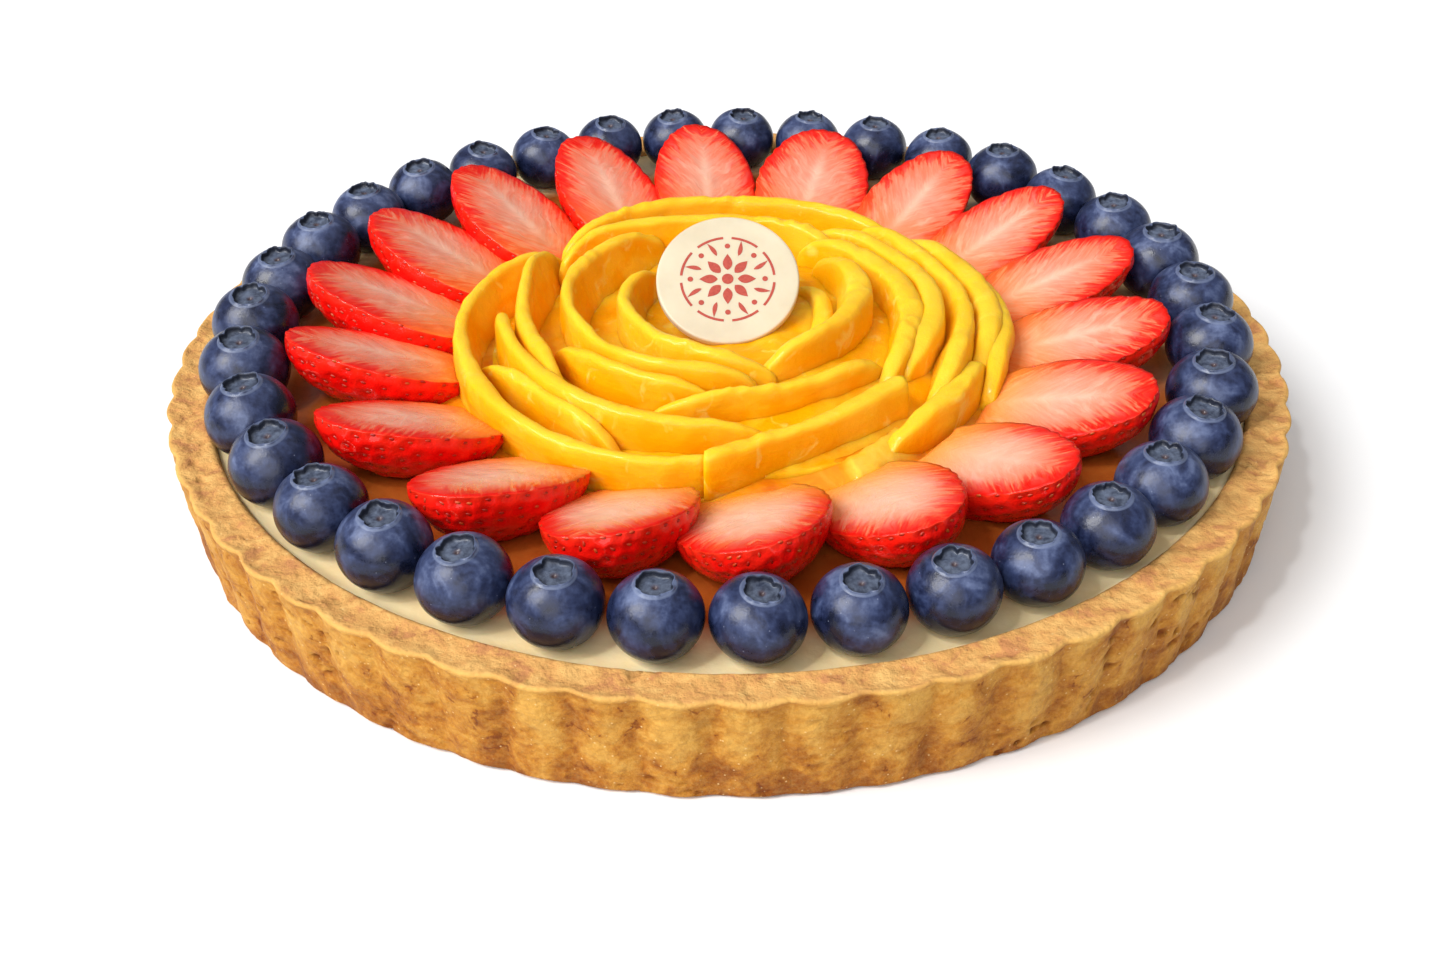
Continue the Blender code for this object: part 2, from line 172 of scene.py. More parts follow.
SQUARE_JOIN = 0.9  # degrees by which it closes up to outer_left
SQUARE_REACH = 4.5  # and by which its other end covers the right ribbons
RIBBON_TUCK_LENGTH = 13.0 * MM
RIBBON_SINK = 6.5 * MM  # how far a hidden end sinks between its neighbours
RIBBON_THICKNESS = 3.2 * MM
RIBBON_SPREAD = 0.25
RIBBON_FLARE = 1.7  # the faces slope this much more than the solid's
RIBBON_WAIST = 0.45
RIBBON_STEP = 0.7 * MM
OUTER_RIBBON_RADIUS = 44.0 * MM
INNER_RIBBON_FOOT = 0.5 * MM
CORE_RADIUS = 47.6 * MM
CORE_RADIUS_SHIFT = 2.4 * MM
CORE_RISE = ((0.97, 1.2 * MM), (0.90, 2.0 * MM), (0.72, 3.8 * MM), (0.40, 6.0 * MM))
CORE_HEAP = 2.8 * MM  # fruit heaped up between the right ribbons
CORE_COLUMNS = 240
CORE_ROWS = 60

# Medallion, as in the solid
MEDALLION_RADIUS = 14.2 * MM
MEDALLION_THICKNESS = 2.0 * MM
MEDALLION_EDGE = 0.45 * MM
MEDALLION_COLUMNS = 160
MEDALLION_CENTRE = Vector((0.0, 0.0, CRUST_HEIGHT + 15.0 * MM))
MEDALLION_LEAN = math.radians(34.0)

# Camera, fitted to the photograph
CAMERA_PLACE = Vector((-0.0010, -0.3205, 0.2038))
CAMERA_DOWN = math.radians(33.73)
CAMERA_YAW = math.radians(-0.15)
CAMERA_ROLL = math.radians(-0.46)
CAMERA_SENSOR = 36.0  # mm
CAMERA_LENS = 45.24  # mm

# Lamps: where each stands as a direction, how wide it looks in degrees, its power
LAMPS = {
    "key": ((-0.66, -0.32, 0.68), 32.0, 2.8),
    "top": ((0.05, 0.05, 1.0), 80.0, 0.55),
    "front": ((-0.15, -0.84, 0.52), 50.0, 1.35),
    "spark": ((-0.40, -0.35, 0.85), 4.0, 0.60),
}
WORLD_LIGHT = 0.20
FLOOR_REACH = 3.0


# Noise and small maths

def lattice(cells, seed):
    """A repeatable number in -1..1 for each whole-numbered cell."""
    mixed = (cells[..., 0] * 73856093) ^ (cells[..., 1] * 19349663)
    mixed = mixed ^ (cells[..., 2] * 83492791) ^ (seed * 2654435761)
    mixed = (mixed ^ (mixed >> 15)) * 2246822519
    mixed = (mixed ^ (mixed >> 13)) * 3266489917
    mixed = mixed ^ (mixed >> 16)
    return (mixed & 0xFFFFF) / 0x7FFFF - 1.0


def rough(points, size, seed=0, octaves=1):
    """Smooth noise of about -1..1 whose lumps are size wide, with finer ones added.
    The seed tells one noise from another."""
    total = np.zeros(points.shape[:-1])
    weight = 1.0
    for octave in range(octaves):
        place = points / size
        cells = np.floor(place)
        part = place - cells
        part = part * part * (3.0 - 2.0 * part)
        cells = cells.astype(np.int64)
        for corner in itertools.product((0, 1), repeat=3):
            share = np.prod(np.where(np.array(corner) == 1, part, 1.0 - part), axis=-1)
            total += weight * share * lattice(cells + np.array(corner), seed + octave)
        size *= 0.5
        weight *= 0.5
    return total


def step(value, low, high):
    """0 below low, 1 above high, smooth between."""
    share = np.clip((value - low) / (high - low), 0.0, 1.0)
    return share * share * (3.0 - 2.0 * share)


def polar(radius, angle, height):
    """Points from radii, angles and heights that may be numbers or arrays."""
    radius, angle, height = np.broadcast_arrays(radius, angle, height)
    return np.stack((radius * np.cos(angle), radius * np.sin(angle), height), axis=-1)


def around(columns):
    """One row of angles, spaced evenly round a full turn."""
    return TAU * np.arange(columns)[None, :] / columns


def frontness(angle):
    """0 at the back of the tart, 1 at its front."""
    return 0.5 - 0.5 * np.sin(angle)


def unit(vectors):
    return vectors / np.maximum(np.linalg.norm(vectors, axis=-1, keepdims=True), 1e-12)


# Meshes

def loft(grid, first=None, last=None):
    """Corners and faces of a tube through rows of points, closed by the end points given."""
    rows, columns = grid.shape[:2]
    corners = grid.reshape(-1, 3)
    here = np.arange(rows * columns).reshape(rows, columns)
    following = np.roll(here, -1, axis=1)
    faces = np.stack((here[:-1], following[:-1], following[1:], here[1:]), axis=-1)
    faces = faces.reshape(-1, 4).tolist()
    for point, start, end in ((first, following[0], here[0]), (last, here[-1], following[-1])):
        if point is not None:
            faces += [[len(corners), *pair] for pair in zip(start.tolist(), end.tolist())]
            corners = np.vstack((corners, point))
    return corners, faces


def at_corners(rows, columns, *ends):
    """A value for each corner of a loft, with those of its end points last."""
    return np.append((rows * np.ones((1, columns))).ravel(), ends)


def make_piece(name, corners, faces, finishes, node, values=None, face_finishes=None):
    """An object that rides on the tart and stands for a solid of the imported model."""
    mesh = bpy.data.meshes.new(name)
    mesh.from_pydata(corners.tolist(), [], faces)
    for finish in finishes:
        mesh.materials.append(finish)
    if face_finishes is not None:
        mesh.polygons.foreach_set("material_index", face_finishes)
    for title, numbers in (values or {}).items():
        layer = mesh.attributes.new(title, "FLOAT", "POINT")
        layer.data.foreach_set("value", np.asarray(numbers, np.float32))
    mesh.shade_smooth()
    piece = bpy.data.objects.new(name, mesh)
    bpy.context.scene.collection.objects.link(piece)
    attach(piece, "root")
    if node:
        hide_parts(node)
    return piece


# Materials

NOISE_LOW = 0.3  # a noise node seldom leaves this range
NOISE_HIGH = 0.7


class Paint:
    """The nodes of one material. Inputs are numbers, colours or the outputs of nodes."""

    def __init__(self, name, roughness, **sockets):
        self.material = bpy.data.materials.new(name)
        self.material.use_nodes = True
        self.tree = self.material.node_tree
        self.shader = self.tree.nodes["Principled BSDF"]
        self.set("Roughness", roughness)
        for title, value in sockets.items():
            self.set(title.replace("_", " "), value)
        self.place = self.add("ShaderNodeTexCoord").outputs["Object"]

    def put(self, socket, value):
        """Link an output to a socket, or set the socket's own number or colour."""
        if isinstance(value, bpy.types.NodeSocket):
            self.tree.links.new(value, socket)
        elif socket.type == "RGBA":
            socket.default_value = (*value, 1.0)
        else:
            socket.default_value = value

    def set(self, title, value):
        self.put(self.shader.inputs[title], value)

    def add(self, kind, inputs=None, **settings):
        node = self.tree.nodes.new(kind)
        for title, value in settings.items():
            setattr(node, title, value)
        for title, value in (inputs or {}).items():
            self.put(node.inputs[title], value)
        return node

    def noise(self, size, detail=3.0, roughness=0.55, distortion=0.0, place=None):
        """Noise of about 0..1 whose lumps are about size wide."""
        return self.add("ShaderNodeTexNoise",
                        {"Vector": place or self.place, "Scale": 1.0 / size, "Detail": detail,
                         "Roughness": roughness, "Distortion": distortion}).outputs["Fac"]

    def cells(self, size, feature="F1", place=None):
        return self.add("ShaderNodeTexVoronoi", {"Vector": place or self.place, "Scale": 1.0 / size},
                        feature=feature).outputs["Distance"]

    def warped(self, amount, size):
        """The place, pushed about so that straight borders turn ragged."""
        push = self.add("ShaderNodeTexNoise", {"Vector": self.place, "Scale": 1.0 / size,
                                               "Detail": 3.0}).outputs["Color"]
        for operation, first, second in (("SUBTRACT", None, (0.5, 0.5, 0.5)),
                                         ("MULTIPLY", None, (amount * size,) * 3),
                                         ("ADD", self.place, None)):
            inputs = {0: first or push, 1: second or push}
            push = self.add("ShaderNodeVectorMath", inputs, operation=operation).outputs[0]
        return push

    def value(self, title):
        """A value that the mesh carries at its corners."""
        return self.add("ShaderNodeAttribute", attribute_name=title).outputs["Fac"]

    def ramp(self, factor, *stops):
        """Colours at places in 0..1, and blends of them between."""
        node = self.add("ShaderNodeValToRGB", {"Fac": factor})
        elements = node.color_ramp.elements
        while len(elements) < len(stops):
            elements.new(0.5)
        for element, (place, color) in zip(elements, stops):
            element.position = place
            element.color = (*color, 1.0)
        return node.outputs["Color"]

    def pair(self, noise, first, second):
        """Two colours that take turns with a noise."""
        return self.ramp(noise, (NOISE_LOW, first), (NOISE_HIGH, second))

    def mix(self, factor, first, second):
        return self.add("ShaderNodeMix", {"Factor": factor, 6: first, 7: second},
                        data_type="RGBA").outputs[2]

    def plus(self, first, second):
        return self.add("ShaderNodeMath", {0: first, 1: second}, operation="ADD").outputs[0]

    def times(self, first, second):
        return self.add("ShaderNodeMath", {0: first, 1: second}, operation="MULTIPLY").outputs[0]

    def total(self, *parts):
        """Sum of values, each times its weight."""
        result = self.times(*parts[0])
        for value, weight in parts[1:]:
            result = self.plus(result, self.times(value, weight))
        return result

    def spread(self, value, low, high, new_low=0.0, new_high=1.0):
        """The value with low..high stretched to new_low..new_high, and clamped there."""
        return self.add("ShaderNodeMapRange", {"Value": value, "From Min": low, "From Max": high,
                                               "To Min": new_low, "To Max": new_high},
                        clamp=True).outputs["Result"]

    def vector(self, x, y, z):
        return self.add("ShaderNodeCombineXYZ", {0: x, 1: y, 2: z}).outputs["Vector"]

    def gloss(self, noise, smooth, dull):
        """Roughness that wanders with a noise."""
        self.set("Roughness", self.spread(noise, NOISE_LOW, NOISE_HIGH, smooth, dull))

    def relief(self, *layers):
        """Bumps, one over another, from noises and their depths in metres."""
        inputs = {"Strength": 1.0}
        for height, depth in layers:
            inputs.update({"Height": height, "Distance": depth})
            inputs["Normal"] = self.add("ShaderNodeBump", inputs).outputs["Normal"]
        self.set("Normal", inputs["Normal"])

    def done(self, color):
        self.set("Base Color", color)
        return self.material


def crust_paint():
    paint = Paint("baked_crust", 0.62, Specular_IOR_Level=0.14)
    broad = paint.noise(11 * MM)
    blotch = paint.noise(4.5 * MM, 4.0, 0.62, 0.5)
    grain = paint.noise(0.9 * MM, 4.0, 0.68)
    on_rim = paint.value("top")
    # Painted light and shade on the flutes: ridges lighter, valleys darker.
    tone = paint.total((broad, 0.45), (blotch, 0.55), (paint.value("painted_ridge_light"), 0.10),
                       (paint.value("foot"), -0.08))
    body = paint.ramp(tone, (0.38, (0.21, 0.048, 0.003)), (0.46, (0.37, 0.125, 0.010)),
                      (0.53, (0.50, 0.215, 0.025)), (0.64, (0.64, 0.345, 0.066)))
    crumbs = paint.ramp(grain, (0.30, (0.17, 0.038, 0.003)), (0.46, (0.44, 0.175, 0.022)),
                        (0.70, (0.72, 0.44, 0.14)))
    body = paint.mix(0.26, body, crumbs)
    rim_tone = paint.total((blotch, 0.82), (grain, 0.18))
    rim = paint.ramp(rim_tone, (0.38, (0.55, 0.24, 0.090)), (0.47, (0.67, 0.34, 0.105)),
                     (0.62, (0.76, 0.44, 0.145)))
    body = paint.mix(on_rim, body, rim)
    border = paint.plus(paint.cells(4.6 * MM, "DISTANCE_TO_EDGE", paint.warped(0.9, 2.5 * MM)),
                        paint.spread(blotch, 0.36, 0.50, 0.0, 0.2))
    cracks = paint.times(paint.spread(border, 0.075, 0.020, 0.0, 0.75),
                         paint.spread(on_rim, 0.0, 1.0, 1.0, 0.15))
    body = paint.mix(cracks, body, (0.17, 0.036, 0.004))
    specks = paint.spread(paint.cells(1.7 * MM), 0.13, 0.06, 0.0, 0.6)
    body = paint.mix(specks, body, (0.84, 0.60, 0.27))
    # Darker colour in the pits of the crust, less on the rim.
    pit_darkening = paint.times(paint.value("pit"), paint.spread(grain, 0.3, 0.6, 0.6, 1.0))
    pit_darkening = paint.times(pit_darkening, paint.spread(on_rim, 0.0, 1.0, 1.0, 0.45))
    body = paint.mix(pit_darkening, body, (0.14, 0.022, 0.002))
    paint.gloss(grain, 0.44, 0.72)
    paint.relief((paint.noise(3.2 * MM, 3.0, 0.5), 0.8 * MM),
                 (paint.noise(1.1 * MM, 5.0, 0.7), 0.34 * MM), (border, 0.25 * MM))
    # Painted highlight: a pale line along the lip's sharp edge.
    return paint.done(paint.mix(paint.value("lip"), body, (0.76, 0.45, 0.125)))


def custard_paint():
    paint = Paint("custard", 0.3, Subsurface_Weight=0.2, Subsurface_Scale=2.0 * MM,
                  Subsurface_Radius=(1.0, 0.6, 0.25), Coat_Weight=0.3, Coat_Roughness=0.1)
    cloud = paint.noise(9 * MM)
    pale = paint.pair(cloud, (0.93, 0.68, 0.34), (0.96, 0.78, 0.46))
    # Glaze colour with painted shade and painted red reflection, used for the custard inside the berry
    # ring.
    glaze_and_shade = paint.pair(cloud, (0.34, 0.070, 0.008), (0.47, 0.125, 0.018))
    paint.relief((paint.noise(2.5 * MM), 0.12 * MM))
    return paint.done(paint.mix(paint.value("glazed"), pale, glaze_and_shade))


def glaze_paint():
    paint = Paint("fruit_glaze", 0.12, Subsurface_Weight=0.4, Subsurface_Scale=4.0 * MM,
                  Subsurface_Radius=(1.0, 0.45, 0.08), Specular_IOR_Level=0.12,
                  Coat_Weight=0.3, Coat_Roughness=0.03)
    cloud = paint.noise(6 * MM, 3.0, 0.55, 0.6)
    amber = paint.ramp(cloud, (0.3, (0.66, 0.17, 0.002)), (0.55, (0.76, 0.27, 0.006)),
                       (0.75, (0.82, 0.38, 0.03)))
    pulp = paint.pair(cloud, (0.82, 0.40, 0.015), (0.88, 0.52, 0.060))
    paint.relief((paint.noise(3.0 * MM, 2.0), 0.25 * MM))
    return paint.done(paint.mix(paint.value("slab"), amber, pulp))


def berry_paint():
    paint = Paint("blueberry_skin", 0.4, Specular_IOR_Level=0.42)
    cloud = paint.noise(6.5 * MM, 3.0, 0.55, 0.8)
    mottle = paint.noise(1.4 * MM, 4.0, 0.65)
    # Painted shade: the skin darkens towards the underside and lightens on top.
    film = paint.total((cloud, 0.72), (mottle, 0.28), (paint.value("painted_height_shade"), 0.32))
    skin = paint.ramp(film, (0.44, (0.004, 0.006, 0.019)), (0.55, (0.012, 0.018, 0.054)),
                      (0.65, (0.033, 0.048, 0.118)), (0.80, (0.118, 0.152, 0.275)))
    scuffs = paint.spread(paint.cells(1.9 * MM), 0.07, 0.03, 0.0, 0.55)
    skin = paint.mix(scuffs, skin, (0.26, 0.29, 0.40))
    crater = paint.ramp(mottle, (0.35, (0.030, 0.038, 0.066)), (0.65, (0.105, 0.130, 0.190)))
    # The dark crown line is a painted shadow just inside the crown's raised lip.
    for title, color in (("crater", crater), ("lip", (0.150, 0.185, 0.290)),
                         ("crown_shadow_line", (0.004, 0.005, 0.012)), ("scar", (0.075, 0.045, 0.045))):
        skin = paint.mix(paint.value(title), skin, color)
    paint.set("Roughness", paint.spread(film, 0.42, 0.74, 0.22, 0.44))
    paint.relief((paint.noise(0.7 * MM), 0.05 * MM))
    return paint.done(skin)


def strawberry_skin_paint():
    paint = Paint("strawberry_skin", 0.26, Specular_IOR_Level=0.05, Coat_Weight=0.60,
                  Coat_Roughness=0.05)
    red = paint.ramp(paint.noise(7 * MM), (0.30, (0.84, 0.002, 0.001)),
                     (0.50, (0.93, 0.004, 0.003)), (0.72, (0.96, 0.014, 0.005)))
    red = paint.mix(paint.value("edge"), red, (0.94, 0.045, 0.014))
    # Painted shade in the seeds' dimples.
    red = paint.mix(paint.times(paint.value("dimple"), 0.5), red, (0.56, 0.003, 0.002))
    paint.relief((paint.noise(1.5 * MM, 3.0, 0.6), 0.30 * MM))
    # Painted shade: the skin darkens towards its lowest part.
    return paint.done(paint.mix(paint.value("painted_low_shade"), red, (0.62, 0.0008, 0.0008)))


def strawberry_face_paint():
    paint = Paint("strawberry_flesh", 0.36, Subsurface_Weight=0.3, Subsurface_Scale=1.5 * MM,
                  Subsurface_Radius=(1.0, 0.35, 0.2), Specular_IOR_Level=0.16)
    side = paint.value("side")
    ident = paint.value("ident")
    rim = paint.value("rim")
    drifted = paint.total((paint.value("streak"), 8.0), (paint.noise(5 * MM, 2.0), 3.2))
    streak_place = paint.vector(drifted, paint.times(side, 1.6), ident)
    streak = paint.noise(1.0, 3.0, 0.6, place=streak_place)
    tooth_place = paint.vector(paint.times(paint.value("streak"), 21.0), paint.times(side, 3.0), ident)
    teeth = paint.noise(1.0, 1.0, place=tooth_place)
    reach = rim
    for noise, low, high, amount in ((streak, 0.25, 0.75, 0.24),
                                     (paint.noise(3.5 * MM, 2.0), 0.3, 0.7, 0.06),
                                     (teeth, 0.38, 0.62, 0.10)):
        reach = paint.plus(reach, paint.spread(noise, low, high, -amount, amount))
    flesh = paint.ramp(reach, (0.10, (0.72, 0.30, 0.205)), (0.42, (0.74, 0.215, 0.130)),
                       (0.70, (0.79, 0.15, 0.075)), (0.80, (0.80, 0.055, 0.022)),
                       (0.92, (0.74, 0.009, 0.004)))
    # Painted light: the cut faces of the front halves are paler.
    flesh = paint.mix(paint.value("pale"), flesh, (0.92, 0.60, 0.43))
    lines = paint.times(paint.spread(streak, 0.50, 0.68, 0.0, 0.55), paint.spread(rim, 0.97, 0.50))
    flesh = paint.mix(lines, flesh, (0.80, 0.49, 0.36))
    flesh = paint.mix(paint.value("pith"), flesh, (0.80, 0.50, 0.37))
    paint.gloss(streak, 0.2, 0.42)
    paint.relief((streak, 0.12 * MM))
    return paint.done(paint.mix(paint.value("glazed"), flesh, (0.90, 0.38, 0.05)))


def seed_paint():
    paint = Paint("strawberry_seed", 0.35, Coat_Weight=0.2, Coat_Roughness=0.2)
    color = paint.ramp(paint.noise(4 * MM, 1.0), (0.40, (0.40, 0.010, 0.003)),
                       (0.58, (0.55, 0.040, 0.008)), (0.75, (0.62, 0.15, 0.02)))
    return paint.done(color)


def mango_paint():
    paint = Paint("mango_flesh", 0.40, Subsurface_Weight=0.6, Subsurface_Scale=4.5 * MM,
                  Subsurface_Radius=(1.0, 0.65, 0.03), Specular_IOR_Level=0.05,
                  Coat_Weight=0.25, Coat_Roughness=0.12)
    rise = paint.value("rise")
    fibre_place = paint.vector(paint.times(paint.value("along"), 1.0 / (16 * MM)),
                               paint.times(rise, 4.0), paint.value("ident"))
    fibre = paint.noise(1.0, 4.0, 0.6, place=fibre_place)
    # Painted shade: the inner faces of the ribbons, and the core between their feet, are darker.
    tone = paint.total((fibre, 0.24), (paint.noise(9 * MM), 0.46), (paint.value("inner"), -0.10))
    tone = paint.plus(tone, paint.spread(rise, 0.0, 0.75, 0.0, 0.34))
    flesh = paint.ramp(tone, (0.20, (0.87, 0.285, 0.0004)), (0.36, (0.87, 0.33, 0.0005)),
                       (0.54, (0.86, 0.37, 0.0007)), (0.76, (0.87, 0.42, 0.002)))
    milky = paint.spread(paint.noise(12 * MM, 3.0, 0.5, 0.8), 0.46, 0.64, 0.0, 0.85)
    flesh = paint.mix(milky, flesh, (0.89, 0.49, 0.020))
    clear = paint.spread(paint.noise(6 * MM, 3.0, 0.55, 1.2), 0.60, 0.72, 0.0, 0.7)
    flesh = paint.mix(clear, flesh, (0.90, 0.66, 0.12))
    # Painted highlight: the crest of each ribbon is paler.
    crest = paint.times(paint.value("crest"), paint.spread(fibre, 0.35, 0.65, 0.45, 0.9))
    paint.gloss(fibre, 0.28, 0.48)
    paint.relief((paint.noise(2.2 * MM, 4.0, 0.6), 0.24 * MM), (fibre, 0.26 * MM))
    return paint.done(paint.mix(crest, flesh, (0.90, 0.53, 0.034)))


def chocolate_paint():
    paint = Paint("white_chocolate", 0.42, Subsurface_Weight=0.3, Subsurface_Scale=1.5 * MM,
                  Subsurface_Radius=(1.0, 0.7, 0.4))
    cloud = paint.noise(6 * MM)
    paint.gloss(cloud, 0.36, 0.5)
    paint.relief((paint.noise(0.9 * MM), 0.03 * MM))
    return paint.done(paint.pair(cloud, (0.60, 0.52, 0.37), (0.66, 0.58, 0.42)))


def ornament_paint():
    paint = Paint("cocoa_print", 0.5)
    grain = paint.noise(0.5 * MM)
    paint.relief((grain, 0.02 * MM))
    return paint.done(paint.pair(grain, (0.36, 0.040, 0.024), (0.47, 0.068, 0.042)))


# Crust

def flute_swell(share):
    """Outward swell of the wall, for a place in 0..1 along one flute."""
    return FLUTE_DEPTH * ((np.sin(np.pi * share) ** 2 + 0.02) ** 0.38 - 0.7)


def crust_profile():
    """Rows of the crust from the middle of its underside round to its floor."""
    rows = list(FOOT_ROWS)
    low, high = WALL_REACH
    lean = (RIM_RADIUS - FOOT_RADIUS) / CRUST_HEIGHT
    for share in np.arange(WALL_ROWS) / (WALL_ROWS - 1):
        height = low + (high - low) * share
        flutes = FLUTE_FADE + (1.0 - FLUTE_FADE) * share ** 0.7 - 0.32 * step(share, 0.75, 1.0)
        rows.append((FOOT_RADIUS / MM + lean * height, height, flutes,
                     1.0 - 0.6 * step(share, 0.85, 1.0), 0.0, 0.0))
    rows += LIP_ROWS
    for share in np.arange(RIM_ROWS) / (RIM_ROWS - 1):
        dish = RIM_DISH * math.sin(math.pi * share)
        rows.append((RIM_OUTER - RIM_WIDTH * share, CRUST_HEIGHT / MM - dish,
                     (1.0 - share) ** 2 * 0.64, 0.9, 1.0, 0.1 * max(0.0, 1.0 - 8.0 * share)))
    rows += MOUTH_ROWS
    return np.array(rows)


def make_crust():
    draw = random.Random(SEED)
    uneven = np.array([draw.uniform(-1.0, 1.0) * FLUTE_UNEVENNESS for _ in range(FLUTES)])
    radius, height, flutes, relief, top, lip = np.hsplit(crust_profile(), 6)
    radius = radius * MM
    height = height * MM
    columns = FLUTES * FLUTE_COLUMNS
    angle = around(columns)
    smooth = polar(radius, angle, height)
    drift = 0.11 * rough(smooth, 13 * MM, 5) + 0.04 * rough(smooth, 5 * MM, 6)
    turn = angle * FLUTES / TAU + drift * flutes
    share = turn % 1.0
    flute = np.floor(turn).astype(int) % FLUTES
    swell = flute_swell(share) + uneven[flute] * np.sin(np.pi * share)
    lumps = 0.32 * rough(smooth, 8 * MM, 11, 2) + 0.15 * rough(smooth, 2.4 * MM, 12, 2)
    squashed = smooth * np.array((1.0, 1.0, 1.9))
    crag = rough(squashed, 2.6 * MM, 13, 3)
    zone = step(rough(smooth, 14 * MM, 16), -0.1, 0.5)
    pit = step(crag, 0.42, 0.85) * (0.25 + 0.75 * zone)
    grit = 0.07 * rough(smooth, 0.9 * MM, 14)
    push = relief * (lumps - 0.75 * pit + grit) * MM
    out = radius + flutes * swell + push * (1.0 - top)
    near_foot = (height > 0) & (height < 6 * MM)
    up = height + push * top * (height > 0) + np.where(near_foot, 0.35 * push, 0.0)
    edge = np.where(top > 0, flutes ** 1.4, step(height, 17 * MM, 21.5 * MM))
    up = up - LIP_DROOP * edge * (np.sin(np.pi * share) ** 2 - 0.35)
    grid = polar(out, angle, np.maximum(up, 0.0))
    corners, faces = loft(grid, first=(0, 0, 0), last=(0, 0, BASE_THICKNESS))
    patchy = 0.65 + 0.35 * np.clip(lumps * 2, -1, 1)
    # Painted light on the flutes: 1 on each ridge, 0 in the valleys.
    painted_ridge_light = 1.0 - step(np.abs(share - 0.5), 0.0, 0.5) ** 1.5
    # lip: painted highlight along the lip's edge, broken up by the lumps.
    shares = {"top": top, "lip": lip * patchy, "pit": pit * np.minimum(relief * 1.4, 1.0),
              "foot": 1.0 - step(height, 0.0, 17 * MM), "painted_ridge_light": flutes * painted_ridge_light}
    values = {title: at_corners(rows, columns, 0.0, 0.0) for title, rows in shares.items()}
    make_piece("crust_baked", corners, faces, [crust_paint()], "crust", values)


# Custard and glaze

def berry_angle(index):
    even = BERRY_FIRST + TAU * index / BERRY_COUNT
    return even + BERRY_CROWDING * math.sin(2.0 * even - BERRY_CROWDING_TURN)


def disc_sheet(inner, outer, spacing):
    """Rings of points from an outer radius to an inner one, all with one column count."""
    rows = round((outer - inner) / spacing)
    radius = outer + (inner - outer) * np.arange(rows + 1)[:, None] / rows
    return radius, around(round(TAU * outer / spacing))


def make_custard():
    radius, angle = disc_sheet(*CUSTARD_REACH, CUSTARD_SPACING)
    flat = polar(radius, angle, 0.0)
    top = CUSTARD_TOP + CUSTARD_RISE + 0.16 * MM * rough(flat, 11 * MM, 21, 2)
    for index in range(BERRY_COUNT):
        centre = polar(BERRY_RING_RADIUS, berry_angle(index), 0.0)
        away = np.linalg.norm(flat - centre, axis=-1)
        top = top + MOUND_RISE * np.exp(-(away / MOUND_WIDTH) ** 2)
    top = top + 0.35 * MM * step(radius, 100.6 * MM, 102.0 * MM)
    low = BASE_THICKNESS + GAP
    grid = np.concatenate((polar(100.7 * MM, angle, low), polar(radius, angle, top)))
    corners, faces = loft(grid, first=(0, 0, low), last=(0, 0, CUSTARD_TOP))
    # Inside the berry ring the custard takes glaze colour with painted shade and painted red
    # reflection.
    glazed = 1.0 - step(radius + 2 * MM * rough(flat, 9 * MM, 23), 87 * MM, 94 * MM)
    glazed = np.concatenate((np.zeros((1, glazed.shape[1])), glazed))
    make_piece("custard_filling", corners, faces, [custard_paint()], "custard",
               {"glazed": np.append(glazed.ravel(), [0.0, 1.0])})


def make_glaze():
    """Thin fruit glaze that has run between the rosette and the strawberries."""
    radius, angle = disc_sheet(*GLAZE_REACH, GLAZE_SPACING)
    flat = polar(radius, angle, 0.0)
    front = frontness(angle)
    wave = rough(flat, 12 * MM, 31, 2)
    edge = (60 + 4 * front) * MM + 6 * MM * wave
    share = step(radius, 47 * MM, edge)
    high = CRUST_HEIGHT + (0.2 + 0.9 * front) * MM + 0.35 * MM * wave
    low = CUSTARD_TOP + 0.2 * MM
    top = high * (1.0 - share) + low * share + 0.12 * MM * rough(flat, 3 * MM, 33)
    along = np.abs((angle - SLAB_TURN) * SLAB_RADIUS) + 0.8 * MM * rough(flat, 6 * MM, 34)
    aside = np.abs(radius - SLAB_RADIUS + 0.25 * (angle - SLAB_TURN) * SLAB_RADIUS)
    slab = 1.0 - step(along, SLAB_LENGTH / 2 - MM, SLAB_LENGTH / 2)
    slab = slab * (1.0 - step(aside, SLAB_WIDTH / 2 - MM, SLAB_WIDTH / 2))
    top = top + SLAB_RISE * slab
    foot = polar(GLAZE_REACH[1] - MM, angle, CUSTARD_TOP - 0.6 * MM)
    back = polar(GLAZE_REACH[0] - MM, angle, CUSTARD_TOP - 0.6 * MM)
    grid = np.concatenate((foot, polar(radius, angle, top), back))
    corners, faces = loft(grid)
    count, columns = grid.shape[:2]
    under = [[(count - 1) * columns + c, (count - 1) * columns + (c + 1) % columns,
              (c + 1) % columns, c] for c in range(columns)]
    blank = np.zeros((1, columns))
    make_piece("glaze_pool", corners, faces + under, [glaze_paint()], None,
               {"slab": np.concatenate((blank, slab, blank)).ravel()})


# Blueberries

def berry_width(index):
    here = berry_angle(index)
    steps = (here - berry_angle(index - 1), berry_angle(index + 1) - here)
    chord = 2.0 * BERRY_RING_RADIUS * math.sin(min(steps) / 2.0)
    return min(chord - GAP, BERRY_MAX_WIDTH)


